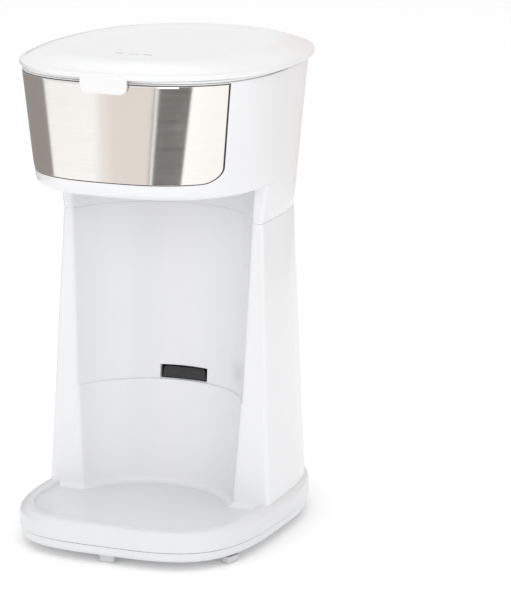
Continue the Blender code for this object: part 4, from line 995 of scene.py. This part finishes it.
@dataclass
class UpperCasing:
    """Neck and head in one shell, the hinge ears and the brushed panel."""

    plan: CasingPlan
    under: float = 0.0085
    hinge_y: float = 0.0936
    hinge_z: float = 0.2704
    panel_top: float = 0.2720
    panel_bottom: float = 0.2174
    panel_top_half: float = 0.0631
    panel_bottom_half: float = 0.0577
    panel_corner: float = 0.0078
    barrel_radius: float = 0.0036
    barrel_length: float = 0.009
    ear_side: float = 0.020
    knuckle_side: float = 0.0293
    spout_radius: float = 0.009
    spout_y: float = -0.036

    def head_ring(self, z: float, pull: float = 0.0, front_pull: float | None = None) -> np.ndarray:
        """Head outline as a ring that matches the neck's runs point for point."""
        outer, inner = self.plan.head(z).inset(pull, front_pull).halves(-0.0150)
        return joined(outer, inner, z, z)

    def shell(self) -> bpy.types.Object:
        """Closed shell: up the outside, over the rim, down the inside and back to the seam.

        Returns:
            The shell, without its ears and the spout's hole.
        """
        plan = self.plan
        foot, step = plan.seam + SEAM_SLIT, 0.00005
        rows = [plan.neck(foot).inset(pull).ring(foot + up)
                for pull, up in ((0.00025, 0.0), (0.00008, 0.0001))]
        rows += [plan.neck(z).ring(z) for z in np.linspace(foot + 0.0003, plan.head_bottom, 7)]
        bottom = plan.head_bottom + step
        for a in np.linspace(0.0, math.pi / 2, 14):
            rows.append(self.head_ring(bottom + self.under * (1 - math.cos(a)), 0.0,
                                       self.under * (1 - math.sin(a))))
        rows += [self.head_ring(z)
                 for z in np.linspace(bottom + self.under, plan.head_top - 0.0009, 16)[1:]]
        rows += [self.head_ring(plan.head_top - drop, pull)
                 for drop, pull in ((0.0004, 0.0001), (0.0001, 0.0004), (0.0, 0.0008),
                                    (0.0, WALL - 0.0004), (0.0003, WALL))]
        deck, thick = plan.deck_level - GAP, WALL + 0.002
        rows += [self.head_ring(z, pull) for z, pull in
                 ((deck, WALL), (deck, thick), (deck - 0.02, thick), (0.2125, thick))]
        rows += [plan.neck(z).hollow(WALL).ring(z) for z in (0.2085, 0.200, foot)]
        return grid_piece("upper_casing_shell", rows, loop=True)

    def ear(self, name: str, middle: float, on_lid: bool) -> bpy.types.Object:
        """Hinge barrel with its web, as a profile in the YZ plane carried along X.

        Args:
            name: the piece's name.
            middle: x of the barrel's middle.
            on_lid: whether the web goes up to the lid, and not forward to the head.

        Returns:
            The barrel and its web in one piece.
        """
        y, z, radius, half = self.hinge_y, self.hinge_z, self.barrel_radius, self.barrel_length / 2
        if on_lid:
            turn = np.linspace(0.0, -math.pi, 40)
            tail = [(y - radius, 0.2754), (y - 0.0074, 0.2754), (y - 0.0074, 0.2767),
                    (0.0924, 0.2767), (y + radius, z + 0.003)]
        else:
            turn = np.linspace(math.pi / 2, -math.pi / 2, 40)
            tail = [(y - 0.0085, z - radius - 0.004), (y - 0.0085, z + 0.002), (y - 0.004, z + radius)]
        barrel = np.stack([y + radius * np.cos(turn), z + radius * np.sin(turn)], -1)
        return extruded(name, np.vstack([barrel, np.array(tail)]), middle - half, middle + half, 0,
                        0.0003)

    def panel_grid(self, grow: float, proud: float, columns: int = 160, rows: int = 70) -> np.ndarray:
        """Points of the front sheet.

        Each row runs between the two slanted sides, which are drawn in near the bottom by the
        corner arc, and every point lies on the head's front surface moved out by proud.  Rows
        are closer together near the bottom and columns near the sides.

        Args:
            grow: how far the outline is moved outwards.
            proud: how far the sheet stands in front of the head.
            columns: points across.
            rows: points from top to bottom.

        Returns:
            The points, by row, column and coordinate.
        """
        top, low = self.panel_top + grow, self.panel_bottom - grow
        radius = self.panel_corner + grow
        share = 1.0 - (1.0 - np.linspace(0.0, 1.0, rows)) ** 1.6
        level = lerp(top, low, share)
        half = lerp(self.panel_top_half, self.panel_bottom_half, (self.panel_top - level)
                    / (self.panel_top - self.panel_bottom)) + grow
        near = np.clip((low + radius - level) / radius, 0.0, 1.0)
        half = half - radius * (1.0 - np.sqrt(1.0 - near ** 2))
        bend = math.pi / 2 * 0.75
        across = np.sin(np.linspace(-1.0, 1.0, columns) * bend) / math.sin(bend)
        grid = []
        for z, wide in zip(level, half):
            x = across * wide
            y = self.plan.head(z).inset(-proud).front_y(x)
            grid.append(np.stack([x, y, np.full_like(x, z)], -1))
        return np.array(grid)

    def sheet(self, name: str, grow: float, proud: float, depth: float) -> bpy.types.Object:
        """The front sheet as a closed skin with its edge turned back into the head.

        Args:
            name: the piece's name.
            grow: how far its outline is moved outwards.
            proud: how far it stands in front of the head.
            depth: its thickness.

        Returns:
            The linked sheet.
        """
        face = self.panel_grid(grow, proud)
        lip = self.panel_grid(grow - 0.00012, proud + 0.00009)
        back = self.panel_grid(grow, proud - depth)

        def border(grid: np.ndarray) -> np.ndarray:
            """The grid's edge as one closed run."""
            return np.concatenate([grid[0], grid[1:, -1], grid[-1, -2::-1], grid[-2:0:-1, 0]])

        rows, columns = face.shape[:2]
        verts = np.vstack([lip.reshape(-1, 3), back.reshape(-1, 3), border(face)])
        r, c = np.meshgrid(np.arange(rows - 1), np.arange(columns - 1), indexing="ij")
        quads = np.stack([r * columns + c, (r + 1) * columns + c, (r + 1) * columns + c + 1,
                          r * columns + c + 1], -1).reshape(-1, 4)
        index = np.arange(rows * columns).reshape(rows, columns)
        edge, size = border(index), rows * columns
        mid = 2 * size + np.arange(len(edge))
        faces = quads.tolist() + (quads[:, ::-1] + size).tolist()
        for a, b in ((edge, mid), (mid, edge + size)):
            faces += np.stack([a, np.roll(a, -1), np.roll(b, -1), b], -1).tolist()
        mesh = bpy.data.meshes.new(name)
        mesh.from_pydata(verts.tolist(), [], faces)
        return settle(new_object(name, mesh), 40.0)

    def build(self, shop: Workshop) -> None:
        """Make and dress the pieces.

        Args:
            shop: where they are dressed.
        """
        shell = self.shell()
        turn = np.linspace(0, 2 * math.pi, 72, endpoint=False)
        hole = np.stack([self.spout_radius * np.cos(turn),
                         self.spout_y + self.spout_radius * np.sin(turn)], -1)
        apply_boolean(shell, grid_piece("spout", [at_level(hole, z) for z in (0.2000, 0.2160)]),
                      "DIFFERENCE")
        for side in (-1, 1):
            apply_boolean(shell, self.ear("ear", side * self.ear_side, False), "UNION")
        shop.dress(shell, WHITE_GLOSS, Body.MACHINE, "upper_housing", "upper_housing")
        # A dark sheet a little larger than the panel, just in front of the head: painted shadow in the
        # slit round the panel.
        gap = self.sheet("panel_gap", grow=0.00055, proud=0.00003, depth=0.0006)
        shop.dress(gap, PAINTED_GAP_SHADOW, Body.MACHINE, "upper_housing")
        panel = self.sheet("front_panel", grow=0.0, proud=0.00016, depth=0.0009)
        shop.dress(panel, BRUSHED_STEEL, Body.MACHINE, "steel_fascia", "steel_fascia")


@dataclass
class Lid:
    """Domed lid with its flange, dish, vents, tab and knuckles."""

    plan: CasingPlan
    casing: UpperCasing
    bottom: float = 0.2750
    lip: float = 0.0032
    rise: float = 0.0096
    wall: float = 0.0020
    dome_power: float = 2.4
    dish_depth: float = 0.0013
    dish_slope: float = 0.0110
    points: int = 420
    angle: float = 40.0
    vent_pitch: float = 0.0086
    vent_y: float = -0.0530
    vent_half_width: float = 0.0026
    vent_half_depth: float = 0.0010
    tab_half_width: float = 0.0142
    tab_drop: float = 0.0082
    tab_corner: float = 0.0052

    def shell(self) -> bpy.types.Object:
        """Lid body from the middle of its underside, round the flange, to the middle of its top.

        Between the flange and the dish each point goes straight in plan from one outline to the
        other.  At a share s of that way it has risen by 1 - (1 - s)^dome_power of the height.

        Returns:
            The lid, without its vents and tab.
        """
        lid, dish, count, wall = self.plan.lid, self.plan.dish, self.points, self.wall
        z, crown, lip = self.bottom, self.bottom + self.rise, self.bottom + self.lip
        ceiling = crown - self.dish_depth - wall
        inner = [lid.inset(wall + 0.0105), lid.inset(wall + 0.0046), lid.inset(wall + 0.0012),
                 lid.inset(wall + 0.0010)]
        rows = [o.ring(h, count) for o, h in zip(inner, (ceiling, lip + 0.0004, z + 0.001, z))]
        middle = np.array([0.0, -0.005, ceiling])
        rows = [middle + (rows[0] - middle) * s for s in (0.05, 0.4, 0.75)] + rows
        rows += [lid.inset(pull).ring(z + up, count) for pull, up in
                 ((0.0008, 0.0), (0.0003, 0.0001), (0.0, 0.0005), (0.0, 0.0012), (0.0, 0.0020),
                  (0.0003, 0.0026), (0.0009, 0.00300), (0.0018, 0.0032))]
        start, goal = lid.inset(0.0026).ring(0.0, count), dish.ring(0.0, count)
        foot = lip + 0.0002
        for s in np.linspace(0.0, 1.0, 18) ** 1.25:
            ring = start + (goal - start) * s
            ring[:, 2] = foot + (crown - foot) * (1.0 - (1.0 - s) ** self.dome_power)
            rows.append(ring)
        rows += [dish.inset(self.dish_slope * s).ring(crown - self.dish_depth * smooth_rise(s), count)
                 for s in np.linspace(0.0, 1.0, 9)[1:]]
        edge = rows[-1]
        centre = np.array([0.0, -0.012, edge[0, 2]])
        rows += [centre + (edge - centre) * s for s in (0.8, 0.5, 0.25, 0.05)]
        return grid_piece("lid_dome", rows, angle=self.angle)

    def tab(self) -> bpy.types.Object:
        """Front tab: a rounded plate that hangs from the flange."""
        half, top, low = self.tab_half_width, self.bottom + 0.0016, self.bottom - self.tab_drop
        outline = rounded_quad([(-half, low), (half, low), (half, top), (-half, top)],
                               [self.tab_corner, self.tab_corner, 0.0004, 0.0004])
        return extruded("tab", outline, -0.0934, -0.0906, 1, 0.0009)

    def build(self, shop: Workshop) -> None:
        """Make and dress the lid with its vents, its tab and its two knuckles.

        Args:
            shop: where the pieces are dressed.
        """
        lid = self.shell()
        half, deep, y = self.vent_half_width, self.vent_half_depth, self.vent_y
        for k in (-1, 0, 1):
            x = self.vent_pitch * k
            vent = block("vent", (x - half, y - deep, self.bottom - 0.001),
                         (x + half, y + deep, self.bottom + 0.013), 0.0006)
            apply_boolean(lid, vent, "DIFFERENCE", self.angle)
        apply_boolean(lid, self.tab(), "UNION", self.angle)
        shop.dress(lid, WHITE_LID, Body.LID, "lid_shell", "lid_shell")
        for side, name in ((-1, "lid_knuckle_left"), (1, "lid_knuckle_right")):
            knuckle = self.casing.ear(name, side * self.casing.knuckle_side, True)
            shop.dress(knuckle, WHITE_LID, Body.LID, "lid_shell")


@dataclass
class Paddle:
    """Push paddle over the bay's ledge."""

    plan: CasingPlan
    clearance: float = 0.0006
    height: float = 0.0070
    foot_half: float = 0.0143
    top_half: float = 0.0131
    proud: float = 0.0014
    behind: float = 0.0034
    edge: float = 0.0008

    def build(self, shop: Workshop) -> None:
        """Make and dress the paddle face: a plate with softly rounded edges.

        Args:
            shop: where it is dressed.
        """
        low = self.plan.ledge + self.clearance
        top, wide, narrow = low + self.height, self.foot_half, self.top_half
        wall = self.plan.bay(low + self.height / 2)[1]
        outline = rounded_quad([(-wide, low), (wide, low), (narrow, top), (-narrow, top)],
                               [0.0007, 0.0007, 0.0016, 0.0016])
        plate = extruded("brew_paddle_face", outline, wall - self.proud, wall + self.behind, 1,
                         self.edge)
        shop.dress(plate, BLACK_PLASTIC, Body.PADDLE, "brew_paddle", "brew_paddle")


@dataclass
class ReturnSpring:
    """Spring behind the paddle, drawn at one fixed length; the real one shortens as the paddle goes
    in.
    """

    radius: float = 0.0026
    wire: float = 0.0004
    turns: int = 6
    travel: float = 0.003

    def coil(self, low: np.ndarray, high: np.ndarray) -> bpy.types.Object:
        """Round wire carried along a helix whose axis runs along Y.

        Args:
            low: lowest corner of the room that the spring has.
            high: highest corner of that room.

        Returns:
            The linked spring.
        """
        turn = np.linspace(0.0, 2 * math.pi * self.turns, 24 * self.turns + 1)
        y = np.linspace(low[1] + self.wire, high[1] - self.wire, len(turn))
        pitch = (y[-1] - y[0]) / turn[-1]
        out = np.stack([np.cos(turn), np.zeros_like(turn), np.sin(turn)], -1)
        along = np.stack([-np.sin(turn), np.full_like(turn, pitch / self.radius), np.cos(turn)], -1)
        along /= np.linalg.norm(along, axis=1, keepdims=True)
        side = np.cross(along, out)
        middle = np.stack([np.full_like(y, (low[0] + high[0]) / 2), y,
                           np.full_like(y, (low[2] + high[2]) / 2)], -1) + self.radius * out
        a = np.linspace(0.0, 2 * math.pi, 11)[:-1, None]
        rows = [point + self.wire * (np.cos(a) * o + np.sin(a) * s)
                for point, o, s in zip(middle, out, side)]
        return grid_piece("paddle_return_spring", rows, angle=60.0)

    def build(self, shop: Workshop) -> None:
        """Make and dress the spring in the room that the CAD spring takes.

        Args:
            shop: where it is dressed.
        """
        low, high = (np.array(corner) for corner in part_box("paddle_spring"))
        spring = shop.dress(self.coil(low, high), STEEL_WIRE, Body.MACHINE, "paddle_spring",
                            "paddle_spring")
        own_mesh(spring)


@dataclass
class BrewGroup:
    """Finishes of the inner parts, the feet and the screws, which keep their CAD shapes."""

    def build(self, shop: Workshop, nodes: dict[str, bpy.types.Object]) -> None:
        """Dress the carried-over nodes.

        Args:
            shop: where they are dressed.
            nodes: the frame's nodes by name.
        """
        finishes = {
            "hinge_pin": STEEL_WIRE, "lid_seal": WHITE_LID, "shower_plate": WHITE_SATIN,
            "water_channel": WHITE_SATIN, "brew_deck": WHITE_SATIN, "filter_basket": BLACK_PLASTIC,
            "filter_cup": GOLD_MESH, "filter_frame": BLACK_PLASTIC, "water_tank": CLEAR_GREY,
            "check_valve": WHITE_SATIN, "cold_hose": RUBBER, "riser_hose": RUBBER,
            "heater_block": CAST_ALLOY, "water_pipe": CAST_ALLOY, "heating_element": STEEL_WIRE,
            "thermostat": BLACK_PLASTIC, "thermal_fuse": BRASS, "heater_bracket": STEEL_WIRE,
            "microswitch": BLACK_PLASTIC, "switch_bracket": STEEL_WIRE,
            "terminal_block": WHITE_SATIN, "cord_gland": BLACK_PLASTIC, "switch_lead": BLACK_WIRE,
            "heater_lead": RED_WIRE}
        for name, node in nodes.items():
            if name in finishes:
                shop.redress(node, finishes[name])
            elif name.startswith("foot_"):
                shop.redress(node, WHITE_FOOT)
            elif name.startswith("cover_screw"):
                shop.redress(node, STEEL_WIRE)


# ---- studio ---------------------------------------------------------------------------------------
@dataclass(frozen=True)
class Softbox:
    """One rectangular lamp."""

    name: str
    place: tuple[float, float, float]
    target: tuple[float, float, float]
    width: float
    height: float
    power: float
    colour: tuple[float, float, float] = (1.0, 1.0, 1.0)

    def build(self) -> None:
        """Place the lamp and aim it."""
        lamp = bpy.data.lights.new(self.name, "AREA")
        lamp.shape = "RECTANGLE"
        lamp.size, lamp.size_y = self.width, self.height
        lamp.energy = self.power
        lamp.color = self.colour
        obj = bpy.data.objects.new(self.name, lamp)
        obj.location = self.place
        obj.rotation_euler = aim(self.place, self.target)
        bpy.context.scene.collection.objects.link(obj)


@dataclass(frozen=True)
class Flag:
    """A card that only reflections see, from black at a shade of 0 to white at 1."""

    name: str
    start: tuple[float, float]
    end: tuple[float, float]
    height: float
    shade: float

    def build(self) -> None:
        """Stand the card just above the floor between two plan points."""
        (x0, y0), (x1, y1), top = self.start, self.end, self.height
        mesh = bpy.data.meshes.new(self.name)
        mesh.from_pydata([(x0, y0, 0.002), (x1, y1, 0.002), (x1, y1, top), (x0, y0, top)], [],
                         [(0, 1, 2, 3)])
        obj = new_object(self.name, mesh)
        material = bpy.data.materials.new(self.name)
        material.use_nodes = True
        shader = material.node_tree.nodes["Principled BSDF"]
        shader.inputs["Base Color"].default_value = (0.0, 0.0, 0.0, 1)
        shader.inputs["Specular IOR Level"].default_value = 0.0
        shader.inputs["Emission Color"].default_value = (1.0, 0.93, 0.88, 1)
        shader.inputs["Emission Strength"].default_value = self.shade
        mesh.materials.append(material)
        obj.visible_camera = obj.visible_diffuse = obj.visible_shadow = False
        obj.visible_transmission = obj.visible_volume_scatter = False


def aim(place: tuple[float, float, float], target: tuple[float, float, float]) -> Euler:
    """Rotation that turns -Z from a place to a target."""
    return (Vector(target) - Vector(place)).to_track_quat("-Z", "Y").to_euler()


class Studio:
    """Camera, floor, world, lamps and cards."""

    place = (0.73168, -1.60566, 0.54652)
    target = (0.04315, 0.01830, 0.13167)
    focal_length = 187.15
    sensor_width = 36.0
    clip = (0.05, 50.0)
    floor_half = 6.0
    floor_tone = (0.95, 0.95, 0.95, 1)
    floor_glow = 0.10
    world_strength = 0.88
    lamps = (Softbox("front_softbox", (0.9, -2.2, 0.9), (0, 0, 0.18), 1.6, 1.2, 12.0),
             Softbox("top_softbox", (-0.1, -0.3, 2.2), (0, 0, 0.15), 2.4, 2.4, 9.5))
    flags = (Flag("left_flag", (-0.495, -0.225), (-0.495, 1.00), 0.30, 0.33),
             Flag("front_flag", (0.058, -0.58), (0.360, -0.450), 0.34, 0.09),
             Flag("thin_flag", (0.022, -0.590), (0.036, -0.589), 0.34, 0.05),
             Flag("rear_flag", (0.90, 0.35), (-0.30, 1.00), 0.60, 0.80),
             Flag("middle_flag", (-0.235, -0.55), (0.021, -0.585), 0.34, 0.84))

    def camera(self) -> None:
        """Long lens, slightly above the machine and to its right."""
        lens = bpy.data.cameras.new("camera")
        lens.lens, lens.sensor_width = self.focal_length, self.sensor_width
        lens.clip_start, lens.clip_end = self.clip
        obj = bpy.data.objects.new("camera", lens)
        obj.location = self.place
        obj.rotation_euler = aim(self.place, self.target)
        bpy.context.scene.collection.objects.link(obj)
        bpy.context.scene.camera = obj

    def floor(self) -> None:
        """Pale floor that the feet stand on."""
        half = self.floor_half
        mesh = bpy.data.meshes.new("floor")
        mesh.from_pydata([(-half, -half, 0), (half, -half, 0), (half, half, 0), (-half, half, 0)], [],
                         [(0, 1, 2, 3)])
        obj = new_object("floor", mesh)
        material = bpy.data.materials.new("pale_floor")
        material.use_nodes = True
        shader = material.node_tree.nodes["Principled BSDF"]
        shader.inputs["Base Color"].default_value = self.floor_tone
        shader.inputs["Roughness"].default_value = 0.7
        shader.inputs["Emission Color"].default_value = (1, 1, 1, 1)
        shader.inputs["Emission Strength"].default_value = self.floor_glow
        mesh.materials.append(material)

    def world(self) -> None:
        """Even white surroundings."""
        world = bpy.data.worlds.new("studio")
        world.use_nodes = True
        node = world.node_tree.nodes["Background"]
        node.inputs["Color"].default_value = (1, 1, 1, 1)
        node.inputs["Strength"].default_value = self.world_strength
        bpy.context.scene.world = world
        bpy.context.scene.view_settings.view_transform = "Standard"

    def build(self) -> None:
        """Make everything that isn't the machine."""
        self.camera()
        self.floor()
        self.world()
        for thing in self.lamps + self.flags:
            thing.build()


def main() -> None:
    """Build the machine round the frame, then the studio."""
    logging.basicConfig(level=logging.INFO, format="%(message)s")
    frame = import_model()
    Studio().build()
    shop, plan = Workshop(), CasingPlan()
    upper = UpperCasing(plan)
    LowerCasing(plan).build(shop)
    upper.build(shop)
    Lid(plan, upper).build(shop)
    Paddle(plan).build(shop)
    ReturnSpring().build(shop)
    BrewGroup().build(shop, frame["nodes"])


if __name__ == "__main__":
    main()
